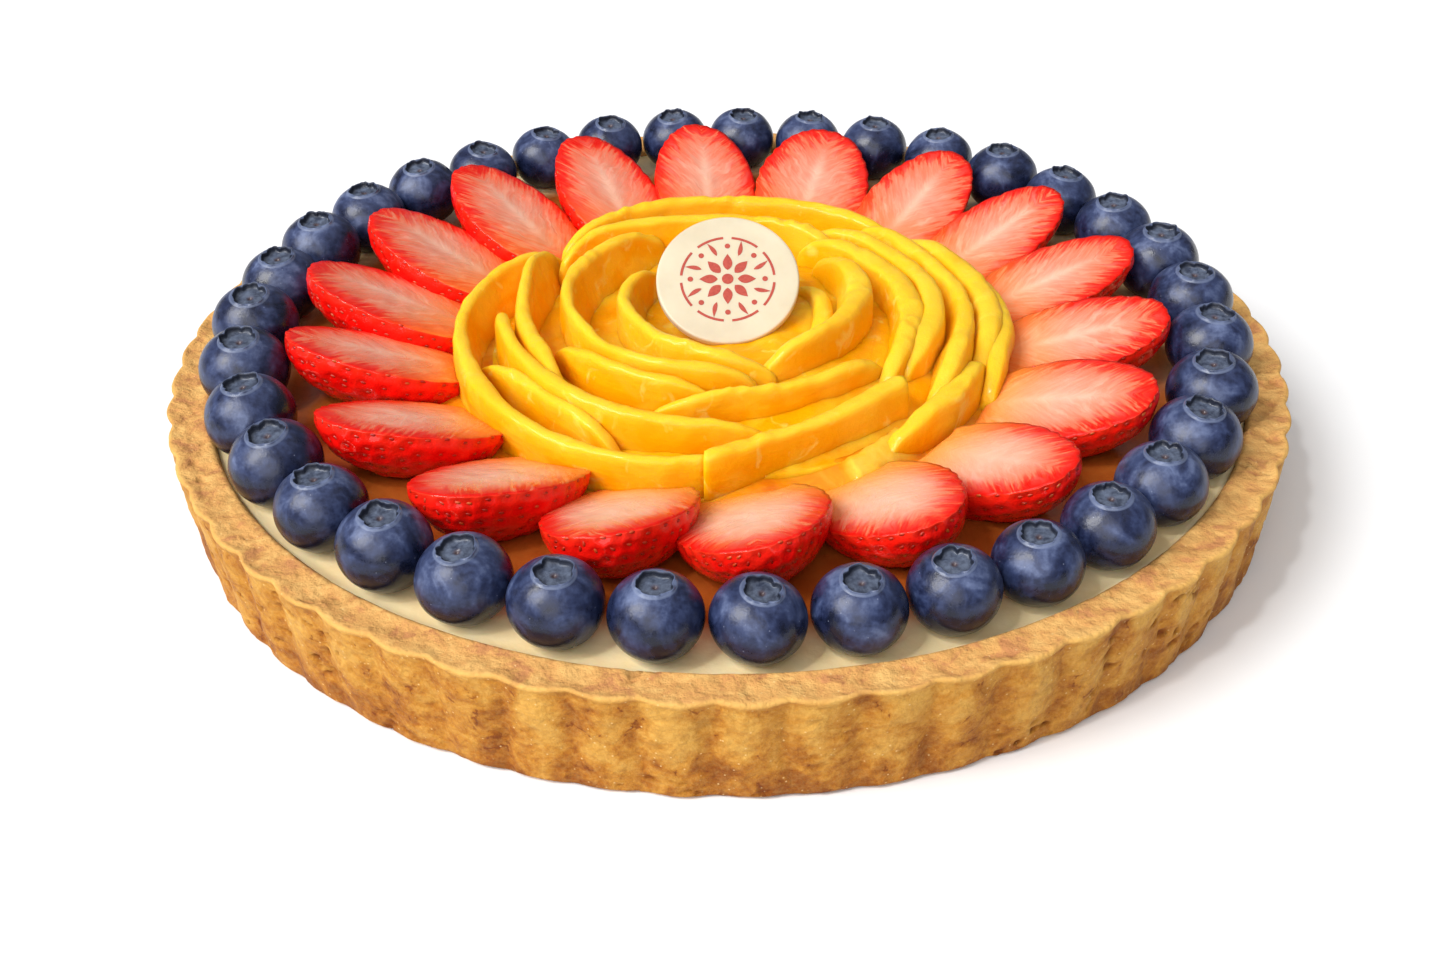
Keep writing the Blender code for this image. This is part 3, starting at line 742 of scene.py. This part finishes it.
# Rows of the crown, as shares of the berry's half width: radius, height over the
# crown's edge, share of the lobes, lip, crater, painted shadow inside the lip, scar
CROWN_ROWS = (
    (0.462, -0.028, 0.0, 0.5, 0.0, 0.0, 0.0), (0.440, 0.000, 0.1, 0.9, 0.0, 0.0, 0.0),
    (0.418, 0.008, 0.3, 0.6, 0.0, 0.0, 0.0), (0.396, 0.014, 0.8, 0.5, 0.0, 0.0, 0.0),
    (0.378, 0.026, 1.0, 0.7, 0.0, 0.1, 0.0), (0.362, 0.016, 1.0, 0.2, 0.3, 0.7, 0.0),
    (0.352, -0.030, 1.0, 0.0, 0.9, 1.0, 0.0), (0.342, -0.085, 0.9, 0.0, 1.0, 0.8, 0.0),
    (0.322, -0.112, 0.6, 0.0, 1.0, 0.2, 0.0), (0.270, -0.116, 0.2, 0.0, 1.0, 0.0, 0.0),
    (0.190, -0.108, 0.0, 0.0, 1.0, 0.0, 0.0), (0.110, -0.102, 0.0, 0.0, 1.0, 0.0, 0.0),
    (0.070, -0.108, 0.0, 0.0, 0.8, 0.0, 0.4), (0.035, -0.130, 0.0, 0.0, 0.5, 0.0, 0.9),
)


def berry_mesh(half_width, half_height, draw, ident):
    """A berry round its own middle, with values for its finish and its painted shade."""
    angle = around(BERRY_COLUMNS)
    crown_latitude = math.acos(0.47)
    low = math.radians(-86.0)
    slope = low + (crown_latitude - low) * np.linspace(0, 1, BERRY_ROWS)[:, None]
    body = polar(half_width * np.cos(slope), angle, half_height * np.sin(slope))
    lobes = draw.choice((5, 5, 5, 6))
    turned = draw.uniform(0.0, TAU)
    wobble = 0.5 * rough(polar(1.0, angle, ident * 3.0), 0.6, 41)
    lobe = np.abs(np.cos(0.5 * lobes * (angle + turned) + wobble)) ** 0.65
    lobe = lobe * (1.0 + 0.35 * rough(polar(1.0, angle, ident * 5.0), 0.45, 42))
    lobe = lobe + 0.35 * rough(polar(1.0, angle, ident * 7.0), 0.20, 45)
    pleat = np.exp(-((slope - 0.9) / 0.35) ** 2)
    crease = 1.0 - 0.016 * pleat * (1.0 - lobe)
    body[..., :2] *= crease[..., None]
    rim = half_height * math.sqrt(1.0 - CROWN_RADIUS ** 2)
    table = np.array(CROWN_ROWS)
    radius = half_width * table[:, 0:1] * (1.0 + 0.20 * table[:, 2:3] * (lobe - 0.5))
    height = rim + half_width * (table[:, 1:2] + 0.030 * table[:, 2:3] * (lobe - 0.45))
    crown = polar(radius, angle, height)
    floor_noise = rough(crown + ident, 1.1 * MM, 43, 2)
    crown[..., 2] += 0.16 * MM * floor_noise * table[:, 4:5]
    grid = np.concatenate((body, crown))
    dent = 0.012 * half_width * rough(grid + ident * 0.1, 6 * MM, 44, 2)
    grid = grid + unit(grid) * dent[..., None]
    corners, faces = loft(grid, first=(0, 0, -half_height), last=(0, 0, rim - 0.18 * half_width))

    def column(index):
        rows = np.concatenate((np.zeros((BERRY_ROWS, 1)), table[:, index:index + 1]))
        return at_corners(rows, BERRY_COLUMNS, 0.0, rows[-1, 0])

    up = np.append(grid[..., 2].ravel(), [-half_height, rim]) / half_height
    values = {"lip": column(3) * 0.75, "crater": column(4), "crown_shadow_line": column(5) * 0.9,
              "scar": column(6), "painted_height_shade": 0.5 * up}
    return corners, faces, values


def make_berries():
    draw = random.Random(SEED + 1)
    shape_draw = random.Random(SEED + 11)
    finish = berry_paint()
    for index in range(BERRY_COUNT):
        node = f"blueberry_{index + 1:02d}"
        half_width = 0.5 * berry_width(index) * draw.uniform(0.97, 1.0)
        half_height = half_width * BERRY_HEIGHT_RATIO * draw.uniform(0.98, 1.03)
        corners, faces, values = berry_mesh(half_width, half_height, shape_draw, index + 1)
        lean = BERRY_LEAN * draw.uniform(0.2, 1.6)
        sideways = BERRY_LEAN * draw.uniform(-1.0, 1.0)
        turn = Euler((lean, sideways, draw.uniform(0.0, TAU)), "ZYX").to_matrix()
        corners = corners @ np.array(turn).T
        corners[:, 2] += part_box(node)[0].z - corners[:, 2].min()
        corners += polar(BERRY_RING_RADIUS, berry_angle(index), 0.0)
        make_piece(f"berry_{index + 1:02d}", corners, faces, [finish], node, values)


# Strawberries

def strawberry_half_width(index):
    count = len(STRAWBERRY_DIRECTIONS)
    here = STRAWBERRY_DIRECTIONS[index]
    before = (here - STRAWBERRY_DIRECTIONS[index - 1]) % 360
    after = (STRAWBERRY_DIRECTIONS[(index + 1) % count] - here) % 360
    chord = 2.0 * STRAWBERRY_RADIUS * math.sin(math.radians(min(before, after)) / 2.0)
    front = math.exp(-((here - 270) / 24) ** 2)
    right = math.exp(-(((here + 160) % 360 - 180) / 38) ** 2)
    left = math.exp(-((here - 165) / 40) ** 2)
    shape = STRAWBERRY_USUAL + (STRAWBERRY_PLUMP - STRAWBERRY_USUAL) * (front + 0.7 * left)
    shape += (STRAWBERRY_SLIM - STRAWBERRY_USUAL) * right
    return shape * min(0.5 * chord - GAP, STRAWBERRY_MAX_HALF_WIDTH)


def face_outline(turn):
    """Outline of the cut face as shares of its half length and half width."""
    forward = np.cos(turn)
    across = np.sin(turn)
    tip = np.sign(across) * np.abs(across) ** TIP_FULLNESS * (1.0 - TIP_TAPER * forward)
    shoulder = np.sign(across) * np.abs(across) ** SHOULDER_FULLNESS
    return forward, np.where(forward > 0.0, tip, shoulder)


def strawberry_axes(angle):
    outward = polar(1.0, angle, 0.0)
    sideways = polar(1.0, angle + math.pi / 2.0, 0.0)
    up = np.array((0.0, 0.0, 1.0))
    along = outward * math.cos(STRAWBERRY_PITCH) + up * math.sin(STRAWBERRY_PITCH)
    upright = up * math.cos(STRAWBERRY_PITCH) - outward * math.sin(STRAWBERRY_PITCH)
    across = sideways * math.cos(STRAWBERRY_TILT) + upright * math.sin(STRAWBERRY_TILT)
    normal = upright * math.cos(STRAWBERRY_TILT) - sideways * math.sin(STRAWBERRY_TILT)
    return along, across, normal


def kept_clear(points):
    """Flatten a strawberry where it lies on the custard and meets the rosette."""
    radius = np.hypot(points[..., 0], points[..., 1])
    reach = STRAWBERRY_BACK_REACH * np.maximum(points[..., 1] / radius, 0.0)
    nearest = STRAWBERRY_INNER_RADIUS - reach
    share = np.maximum(nearest / radius, 1.0)
    height = np.maximum(points[..., 2], CUSTARD_TOP + GAP)
    return np.stack((points[..., 0] * share, points[..., 1] * share, height), axis=-1)


class Strawberry:
    """One half: its frame, its size and the point of its skin at a slope and turn."""

    def __init__(self, index, draw):
        self.angle = math.radians(STRAWBERRY_DIRECTIONS[index])
        self.along, self.across, self.normal = strawberry_axes(self.angle)
        self.centre = polar(STRAWBERRY_RADIUS, self.angle, CRUST_HEIGHT + STRAWBERRY_FACE_HEIGHT)
        self.half_length = STRAWBERRY_HALF_LENGTH * draw.uniform(0.96, 1.02)
        self.half_width = strawberry_half_width(index) * draw.uniform(0.97, 1.0)
        self.depth = STRAWBERRY_DEPTH * draw.uniform(0.95, 1.05)

    def point(self, x, y, sink):
        return (self.centre + self.along * x[..., None] + self.across * y[..., None]
                - self.normal * sink[..., None])

    def skin(self, slope, turn):
        x, y = face_outline(turn)
        shrink = np.cos(slope)
        sink = self.depth * np.sin(slope) * np.ones_like(x)
        return self.point(self.half_length * x * shrink, self.half_width * y * shrink, sink)

    def skin_normal(self, slope, turn):
        d = 0.01
        over = self.skin(slope, turn + d) - self.skin(slope, turn - d)
        down = self.skin(slope + d, turn) - self.skin(slope - d, turn)
        return unit(np.cross(down, over))


def seed_places(fruit, draw):
    """Slopes and turns of the seeds, evenly spread in staggered rows."""
    places = []
    girth = TAU * math.sqrt(0.5 * (fruit.half_length ** 2 + fruit.half_width ** 2))
    drop = 0.5 * math.pi * 0.5 * (fruit.half_width + fruit.depth)
    rows = round(drop / (0.78 * SEED_SPACING))
    for row in range(rows):
        slope = (row + 0.30) / rows * 0.5 * math.pi
        count = max(3, round(girth * math.cos(slope) / SEED_SPACING))
        for column in range(count):
            turn = TAU * (column + 0.5 * (row % 2) + draw.uniform(-0.22, 0.22)) / count
            places.append((slope + draw.uniform(-0.06, 0.06), turn))
    return np.array(places)


def seed_mesh(centre, normal, along):
    """A small pointed grain lying in its dimple."""
    side = unit(np.cross(normal, along))
    length = unit(np.cross(side, normal))
    turn = around(7)
    rows = np.array(((0.55, -0.9), (0.95, -0.35), (0.9, 0.2), (0.5, 0.75)))
    radius = 0.5 * SEED_WIDTH * rows[:, 0:1]
    x = 0.5 * SEED_LENGTH * rows[:, 1:2] * np.ones_like(turn)
    grid = (centre + length * x[..., None] + side * (radius * np.cos(turn))[..., None]
            + normal * (0.6 * radius * np.sin(turn))[..., None])
    return loft(grid, first=centre - length * 0.5 * SEED_LENGTH,
                last=centre + length * 0.55 * SEED_LENGTH)


def make_strawberry(index, draw, seed_draw, finishes):
    """One half with its seeds' dimples. Gives back the meshes of its seeds."""
    fruit = Strawberry(index, draw)
    turn = around(STRAWBERRY_COLUMNS)
    slope = 0.5 * math.pi * (np.linspace(0.0, 0.985, SKIN_ROWS)[:, None]) ** 1.15
    places = seed_places(fruit, seed_draw)
    seeds = fruit.skin(places[:, 0], places[:, 1])
    seed_normals = fruit.skin_normal(places[:, 0], places[:, 1])
    skin = fruit.skin(slope, turn)
    outward = fruit.skin_normal(slope, turn)
    away = np.linalg.norm(skin[:, :, None, :] - seeds[None, None, :, :], axis=-1).min(axis=2)
    dimple = np.exp(-(away / DIMPLE_RADIUS) ** 2)
    lumps = rough(skin, 9 * MM, 50 + index, 2)
    push = -DIMPLE_DEPTH * dimple + 0.3 * MM * lumps * np.sin(slope)
    skin = kept_clear(skin + outward * push[..., None])

    inward = (1.0 - (np.arange(1, FACE_ROWS) / FACE_ROWS) ** 0.9)[:, None]
    tip, flank = face_outline(turn)
    x = inward * tip * fruit.half_length
    y = inward * flank * fruit.half_width
    outline = fruit.point(fruit.half_length * tip, fruit.half_width * flank, np.zeros_like(turn))
    edge_shift = skin[0] - outline[0]
    face = fruit.point(x, y, np.zeros_like(x)) + edge_shift[None] * (inward[..., None] ** 6)
    swell = 0.45 * MM * (1.0 - inward ** 6) + 0.16 * MM * rough(face, 4 * MM, 70 + index, 2)
    face = kept_clear(face + fruit.normal * (swell * np.ones_like(x))[..., None])
    bottom = kept_clear(fruit.point(np.zeros(1), np.zeros(1), np.array([fruit.depth])))[0]
    corners, faces = loft(np.concatenate((skin[::-1], face)), bottom, face[-1].mean(axis=0))
    rows_of_faces = (SKIN_ROWS - 1, FACE_ROWS - 1, 1, 1)
    kinds = np.repeat((0, 1, 0, 1), np.array(rows_of_faces) * STRAWBERRY_COLUMNS)

    ones = np.ones((1, STRAWBERRY_COLUMNS))
    blank = np.zeros((FACE_ROWS - 1, STRAWBERRY_COLUMNS))
    forward = np.concatenate((np.repeat(tip, SKIN_ROWS, axis=0), x / fruit.half_length))
    across = np.abs(np.concatenate((np.repeat(flank, SKIN_ROWS, axis=0), y / fruit.half_width)))
    rim = np.concatenate((np.repeat(ones, SKIN_ROWS, axis=0), inward * ones))
    pith = 0.55 * np.exp(-(across / 0.10) ** 2)
    pith = pith * step(forward, -0.9, -0.2) * step(-forward, -0.75, -0.2)
    front = frontness(fruit.angle)
    # Painted light: paler cut faces towards the front of the tart.
    pale = 0.55 * front ** 4 * (1.0 - step(rim, 0.35, 0.85))
    ident = 3.7 * index
    # Each value comes with those of the lowest point of the skin and the middle of the face
    shares = {
        "streak": (forward - 0.75 * across, 0, 0),
        "side": (across, 0, 0),
        "rim": (rim, 1, 0),
        "pith": (pith, 0, 0.5),
        "pale": (pale, 0, pale[-1, 0]),
        "glazed": (0.85 * step(-forward, -0.15, 0.95) * (0.3 + 0.7 * front), 0, 0),
        "edge": (np.concatenate(((np.exp(-slope / 0.10) * ones)[::-1] * 0.8, blank)), 0, 0),
        # Painted shade on the lower skin.
        "painted_low_shade": (np.concatenate(((step(slope, 0.35, 1.1) * ones)[::-1] * 0.75, blank)), 1, 0),
        "dimple": (np.concatenate((dimple[::-1], blank)), 0, 0),
        "ident": (np.full_like(rim, ident), ident, ident),
    }
    values = {title: at_corners(rows, STRAWBERRY_COLUMNS, *ends)
              for title, (rows, *ends) in shares.items()}
    make_piece(f"strawberry_{index + 1:02d}", corners, faces, finishes,
               f"strawberry_half_{index + 1:02d}", values, kinds)

    grains = []
    for place, centre, normal in zip(seeds, kept_clear(seeds), seed_normals):
        if np.linalg.norm(centre - place) < 1e-6 and centre[2] > CUSTARD_TOP + 0.5 * MM:
            sunk = centre - normal * (DIMPLE_DEPTH - 0.10 * MM)
            grains.append(seed_mesh(sunk, normal, fruit.along))
    return grains


def make_strawberries():
    draw = random.Random(SEED + 2)
    seed_draw = random.Random(SEED + 12)
    finishes = [strawberry_skin_paint(), strawberry_face_paint()]
    grains = []
    for index in range(len(STRAWBERRY_DIRECTIONS)):
        grains += make_strawberry(index, draw, seed_draw, finishes)
    faces = []
    count = 0
    for corners, grain_faces in grains:
        faces += [[corner + count for corner in face] for face in grain_faces]
        count += len(corners)
    every_corner = np.vstack([corners for corners, _ in grains])
    make_piece("strawberry_seeds", every_corner, faces, [seed_paint()], None)


# Mango rosette

# Cross-section of a ribbon from the inner foot over the crest to the outer foot:
# share of the half thickness, share of the foot's spread, height share, crest share (torn edge and
# painted highlight)
RIBBON_SECTION = (
    (-1.00, 1.00, 0.00, 0.0), (-1.00, 0.80, 0.14, 0.0), (-1.00, 0.60, 0.29, 0.0),
    (-1.00, 0.41, 0.44, 0.0), (-0.99, 0.25, 0.58, 0.0), (-0.97, 0.13, 0.71, 0.0),
    (-0.95, 0.05, 0.82, 0.1), (-0.92, 0.01, 0.89, 0.3), (-0.86, 0.00, 0.94, 0.7),
    (-0.72, 0.00, 0.970, 0.9), (-0.46, 0.00, 0.990, 1.0), (-0.14, 0.00, 1.00, 1.0),
    (0.20, 0.00, 0.998, 1.0), (0.50, 0.00, 0.982, 1.0), (0.72, 0.00, 0.955, 0.8),
    (0.86, 0.00, 0.91, 0.5), (0.94, 0.00, 0.84, 0.25), (1.00, 0.00, 0.74, 0.1),
    (1.03, 0.00, 0.62, 0.0), (1.05, 0.00, 0.48, 0.0), (1.03, 0.00, 0.32, 0.0),
    (1.00, 0.00, 0.16, 0.0), (1.00, 0.00, 0.00, 0.0),
)


class Ribbon:
    """The line that one ribbon of mango follows, sampled along its length."""

    def __init__(self, name, ident):
        start, end, start_radius, end_radius, bulge, start_crest, end_crest = RIBBONS[name]
        if name in SQUARE_ENDS:
            start, end = start - SQUARE_JOIN, end + SQUARE_REACH
        self.ident = ident
        self.sweep = math.radians(end - start)
        self.length = abs(self.sweep) * 0.5 * (start_radius + end_radius) * MM
        share = np.linspace(0.0, 1.0, round(self.length / RIBBON_STEP) + 1)[:, None]
        self.along = share * self.length
        self.angle = math.radians(start) + self.sweep * share
        radius = start_radius + (end_radius - start_radius) * share
        self.radius = (radius + 4.0 * bulge * share * (1.0 - share)) * MM
        even = polar(self.radius, self.angle, 0.0)
        self.radius = self.radius + 0.7 * MM * rough(even, 26 * MM, 79 + ident)
        self.spine = polar(self.radius, self.angle, 0.0)
        crest = CRUST_HEIGHT + (start_crest + (end_crest - start_crest) * share) * MM
        waves = (0.55 * rough(self.spine, 15 * MM, 80 + ident)
                 + 0.14 * rough(self.spine, 5 * MM, 81 + ident))
        from_tip = np.full_like(share, self.length)
        if name not in SQUARE_ENDS:
            from_tip = (1.0 - share) * self.length
        if name not in SQUARE_STARTS:
            from_tip = np.minimum(share * self.length, from_tip)
        near = np.maximum(1.0 - from_tip / RIBBON_TUCK_LENGTH, 0.0)
        dip = RIBBON_SINK * (0.4 * near ** 2 + 0.6 * (1.0 - np.sqrt(1.0 - near ** 2)))
        self.crest = crest + waves * MM - dip
        self.foot = CRUST_HEIGHT + INNER_RIBBON_FOOT
        if max(start_radius, end_radius) * MM > OUTER_RIBBON_RADIUS:
            self.foot = CUSTARD_TOP + GAP
        nearest_end = np.minimum(share, 1.0 - share) * self.length
        blunt = 0.7 + 0.3 * step(nearest_end, 0.0, 0.9 * MM) ** 0.5
        self.taper = blunt * (0.75 + 0.25 * step(from_tip, 0.0, RIBBON_TUCK_LENGTH))


def make_ribbon(name, ribbon, finish):
    thick, slant, rise, crest = np.array(RIBBON_SECTION).T[:, None, :]
    ident, spine, angle = ribbon.ident, ribbon.spine, ribbon.angle
    to_right = np.maximum(np.cos(angle), 0.0)
    plump = (1.0 + 0.5 * to_right + 0.28 * rough(spine, 16 * MM, 82 + ident)
             + 0.10 * rough(spine, 6 * MM, 89 + ident))
    half = 0.5 * RIBBON_THICKNESS * plump * ribbon.taper
    tall = ribbon.crest - ribbon.foot
    flare = 1.0 + (RIBBON_FLARE - 1.0) * (0.4 + 0.6 * to_right)
    spread = flare * RIBBON_SPREAD * tall * (1.0 + 0.4 * rough(spine, 14 * MM, 83 + ident))
    wander = 0.6 * MM * rough(spine, 18 * MM, 84 + ident) * rise
    out = ribbon.radius + thick * half - slant * spread + wander
    low = 1.0 - step(rise, RIBBON_WAIST - 0.25, RIBBON_WAIST + 0.25)
    reach = STRAWBERRY_INNER_RADIUS - STRAWBERRY_BACK_REACH * np.maximum(np.sin(angle), 0.0)
    out = out - low * np.maximum(out - reach - 0.6 * MM, 0.0)
    grid = polar(out, angle, ribbon.foot + tall * rise)
    torn = step(rough(spine, 9 * MM, 88 + ident), 0.1, 0.6) * crest
    grain = 0.20 * rough(grid, 3.2 * MM, 85, 2) + 0.45 * torn * rough(grid, 2.0 * MM, 86, 2)
    grid[..., 2] += grain * MM * rise
    dents = 0.34 * rough(grid, 7 * MM, 87, 2) + 0.10 * rough(grid, 2.4 * MM, 90, 2)
    grid += polar(1.0, angle, 0.0) * (dents * MM * np.minimum(rise * 3.0, 1.0))[..., None]
    corners, faces = loft(grid)
    rows, columns = grid.shape[:2]
    faces.append(list(range(columns))[::-1])
    faces.append(list(range((rows - 1) * columns, rows * columns)))
    if ribbon.sweep < 0:
        faces = [face[::-1] for face in faces]
    shares = {"along": ribbon.along, "rise": rise, "crest": crest,
              # inner: painted shade on the ribbon's inner face.
              "inner": step(-thick, -0.1, 0.9), "ident": 2.3 * ident}
    values = {title: np.broadcast_to(rows, grid.shape[:2]).ravel()
              for title, rows in shares.items()}
    make_piece(f"mango_ribbon_{name}", corners, faces, [finish], "mango_rosette", values)


def make_core(finish):
    """The mango and glaze between the feet of the ribbons."""
    angle = around(CORE_COLUMNS)
    share = np.concatenate(([1.0, 0.99], np.linspace(0.97, 0.01, CORE_ROWS)))[:, None]
    places, rises = zip(*reversed(CORE_RISE))
    height = CRUST_HEIGHT + np.interp(share, places, rises) + np.zeros_like(angle)
    radius = share * (CORE_RADIUS - CORE_RADIUS_SHIFT * np.sin(angle))
    height[0] = CUSTARD_TOP + GAP
    grid = polar(radius, angle, height)
    lumps = 0.5 * rough(grid[2:], 8 * MM, 91, 2) + 0.2 * rough(grid[2:], 3 * MM, 92, 2)
    heaped = CORE_HEAP * (0.5 + 0.5 * np.cos(angle)) * (1.0 - step(share[2:], 0.80, 0.97))
    grid[2:, :, 2] += lumps * MM + heaped
    corners, faces = loft(grid, first=(0, 0, CUSTARD_TOP + GAP), last=grid[-1].mean(axis=0))
    zeros = np.zeros(len(corners))
    # The core is painted in the shade of the ribbons' inner faces.
    make_piece("mango_core", corners, faces, [finish], "mango_rosette",
               {"along": np.append((angle * radius).ravel(), [0, 0]), "rise": zeros + 0.3,
                "crest": zeros, "inner": zeros + 0.6, "ident": zeros})


def make_rosette():
    finish = mango_paint()
    make_core(finish)
    for ident, name in enumerate(RIBBONS):
        make_ribbon(name, Ribbon(name, ident), finish)


# Medallion

def lean_forward(points):
    turn = np.array(Euler((MEDALLION_LEAN, 0.0, 0.0)).to_matrix())
    return points @ turn.T + np.array(MEDALLION_CENTRE)


def medallion_disc(finish):
    half = MEDALLION_THICKNESS / 2.0
    rows = [(0.4 * MEDALLION_RADIUS, -half)]
    for side, start in ((-1, -90), (1, 0)):
        for degrees in range(start, start + 91, 18):
            turn = math.radians(degrees)
            rows.append((MEDALLION_RADIUS - MEDALLION_EDGE * (1 - math.cos(turn)),
                         side * (half - MEDALLION_EDGE) + MEDALLION_EDGE * math.sin(turn)))
    rows += [(share * MEDALLION_RADIUS, half) for share in np.linspace(0.93, 0.03, 30)]
    rows = np.array(rows)
    grid = polar(rows[:, 0:1], around(MEDALLION_COLUMNS), rows[:, 1:2])
    grid[..., 2] += 0.03 * MM * rough(grid, 6 * MM, 101, 2)
    grid[..., :2] *= 1.0 + 0.002 * rough(grid, 8 * MM, 102)[..., None]
    corners, faces = loft(grid, first=(0, 0, -half), last=(0, 0, half))
    make_piece("medallion_disc", lean_forward(corners), faces, [finish], "medallion")


def petal(length, width, base, turn, curl=0.0):
    """Outline of a pointed petal that starts at a radius and bends sideways."""
    share = np.linspace(0.0, 1.0, 15)
    half = 0.5 * width * np.sin(np.pi * share ** 0.8)
    bend = curl * share ** 2
    left = np.stack((base + length * share, bend + half), axis=-1)
    right = np.stack((base + length * share, bend - half), axis=-1)[::-1]
    outline = np.concatenate((left, right[1:-1]))
    spin = np.array(((math.cos(turn), -math.sin(turn)), (math.sin(turn), math.cos(turn))))
    return outline @ spin.T


def ring_strip(inner, outer, start, sweep):
    """Outline of an arc of even width."""
    turns = start + sweep * np.linspace(0.0, 1.0, 28)
    return np.concatenate((polar(outer, turns, 0.0), polar(inner, turns, 0.0)[::-1]))[:, :2]


def dot(radius, distance, turn):
    return (polar(distance, turn, 0.0) + polar(radius, around(18)[0], 0.0))[:, :2]


def medallion_ornament(finish):
    """A plain rosette of petals, arcs and dots, printed on the disc."""
    shapes = [dot(1.15 * MM, 0.0, 0.0)]
    for index in range(8):
        turn = TAU * index / 8
        shapes.append(petal(3.6 * MM, 1.9 * MM, 2.0 * MM, turn))
        shapes.append(petal(3.3 * MM, 0.9 * MM, 5.6 * MM, turn + TAU / 16, 0.7 * MM))
        shapes.append(ring_strip(9.0 * MM, 9.5 * MM, turn + 0.09, TAU / 8 - 0.18))
        shapes.append(dot(0.55 * MM, 7.4 * MM, turn))
    corners = []
    faces = []
    top = MEDALLION_THICKNESS / 2.0 + 0.06 * MM
    low = MEDALLION_THICKNESS / 2.0 - 0.15 * MM
    for outline in shapes:
        first = len(corners)
        count = len(outline)
        corners += [(x, y, top) for x, y in outline] + [(x, y, low) for x, y in outline]
        ring = list(range(first, first + count))
        clockwise = np.sum(outline[:, 0] * np.roll(outline[:, 1], -1)
                           - outline[:, 1] * np.roll(outline[:, 0], -1)) < 0
        under = [corner + count for corner in ring]
        sides = [[under[i], under[(i + 1) % count], ring[(i + 1) % count], ring[i]]
                 for i in range(count)]
        made = [ring, under[::-1], *sides]
        faces += [face[::-1] for face in made] if clockwise else made
    piece = make_piece("medallion_ornament", lean_forward(np.array(corners)), faces, [finish],
                       None)
    piece.data.shade_flat()


def make_medallion():
    medallion_disc(chocolate_paint())
    medallion_ornament(ornament_paint())


# Stage

def floor_paint():
    paint = Paint("studio_floor", 0.75, Specular_IOR_Level=0.05)
    cloud = paint.noise(0.5, 2.0)
    return paint.done(paint.pair(cloud, (0.865, 0.865, 0.87), (0.88, 0.88, 0.88)))


def make_floor():
    mesh = bpy.data.meshes.new("studio_floor")
    corners = [(x * FLOOR_REACH, y * FLOOR_REACH, 0) for x, y in ((-1, -1), (1, -1), (1, 1), (-1, 1))]
    mesh.from_pydata(corners, [], [(0, 1, 2, 3)])
    mesh.materials.append(floor_paint())
    floor = bpy.data.objects.new("studio_floor", mesh)
    bpy.context.scene.collection.objects.link(floor)


def make_lights():
    world = bpy.data.worlds.new("studio")
    world.use_nodes = True
    background = world.node_tree.nodes["Background"]
    background.inputs["Color"].default_value = (1.0, 1.0, 1.0, 1.0)
    background.inputs["Strength"].default_value = WORLD_LIGHT
    bpy.context.scene.world = world
    for name, (direction, spread, power) in LAMPS.items():
        lamp = bpy.data.lights.new(name, "SUN")
        lamp.angle = math.radians(spread)
        lamp.energy = power
        made = bpy.data.objects.new(name, lamp)
        made.rotation_euler = Vector(direction).to_track_quat("Z", "Y").to_euler()
        bpy.context.scene.collection.objects.link(made)


def make_camera():
    down, yaw, roll = CAMERA_DOWN, CAMERA_YAW, CAMERA_ROLL
    forward = Vector((math.sin(yaw) * math.cos(down), math.cos(yaw) * math.cos(down),
                      -math.sin(down)))
    level = Vector((math.cos(yaw), -math.sin(yaw), 0.0))
    above = level.cross(forward)
    right = level * math.cos(roll) + above * math.sin(roll)
    up = above * math.cos(roll) - level * math.sin(roll)
    made = bpy.data.cameras.new("camera")
    made.sensor_width = CAMERA_SENSOR
    made.lens = CAMERA_LENS
    made.clip_start = 0.01
    camera = bpy.data.objects.new("camera", made)
    turn = Matrix((right, up, -forward)).transposed().to_4x4()
    camera.matrix_world = Matrix.Translation(CAMERA_PLACE) @ turn
    bpy.context.scene.collection.objects.link(camera)
    bpy.context.scene.camera = camera


make_crust()
make_custard()
make_glaze()
make_berries()
make_strawberries()
make_rosette()
make_medallion()
make_floor()
make_lights()
make_camera()
bpy.context.scene.view_settings.view_transform = "Standard"
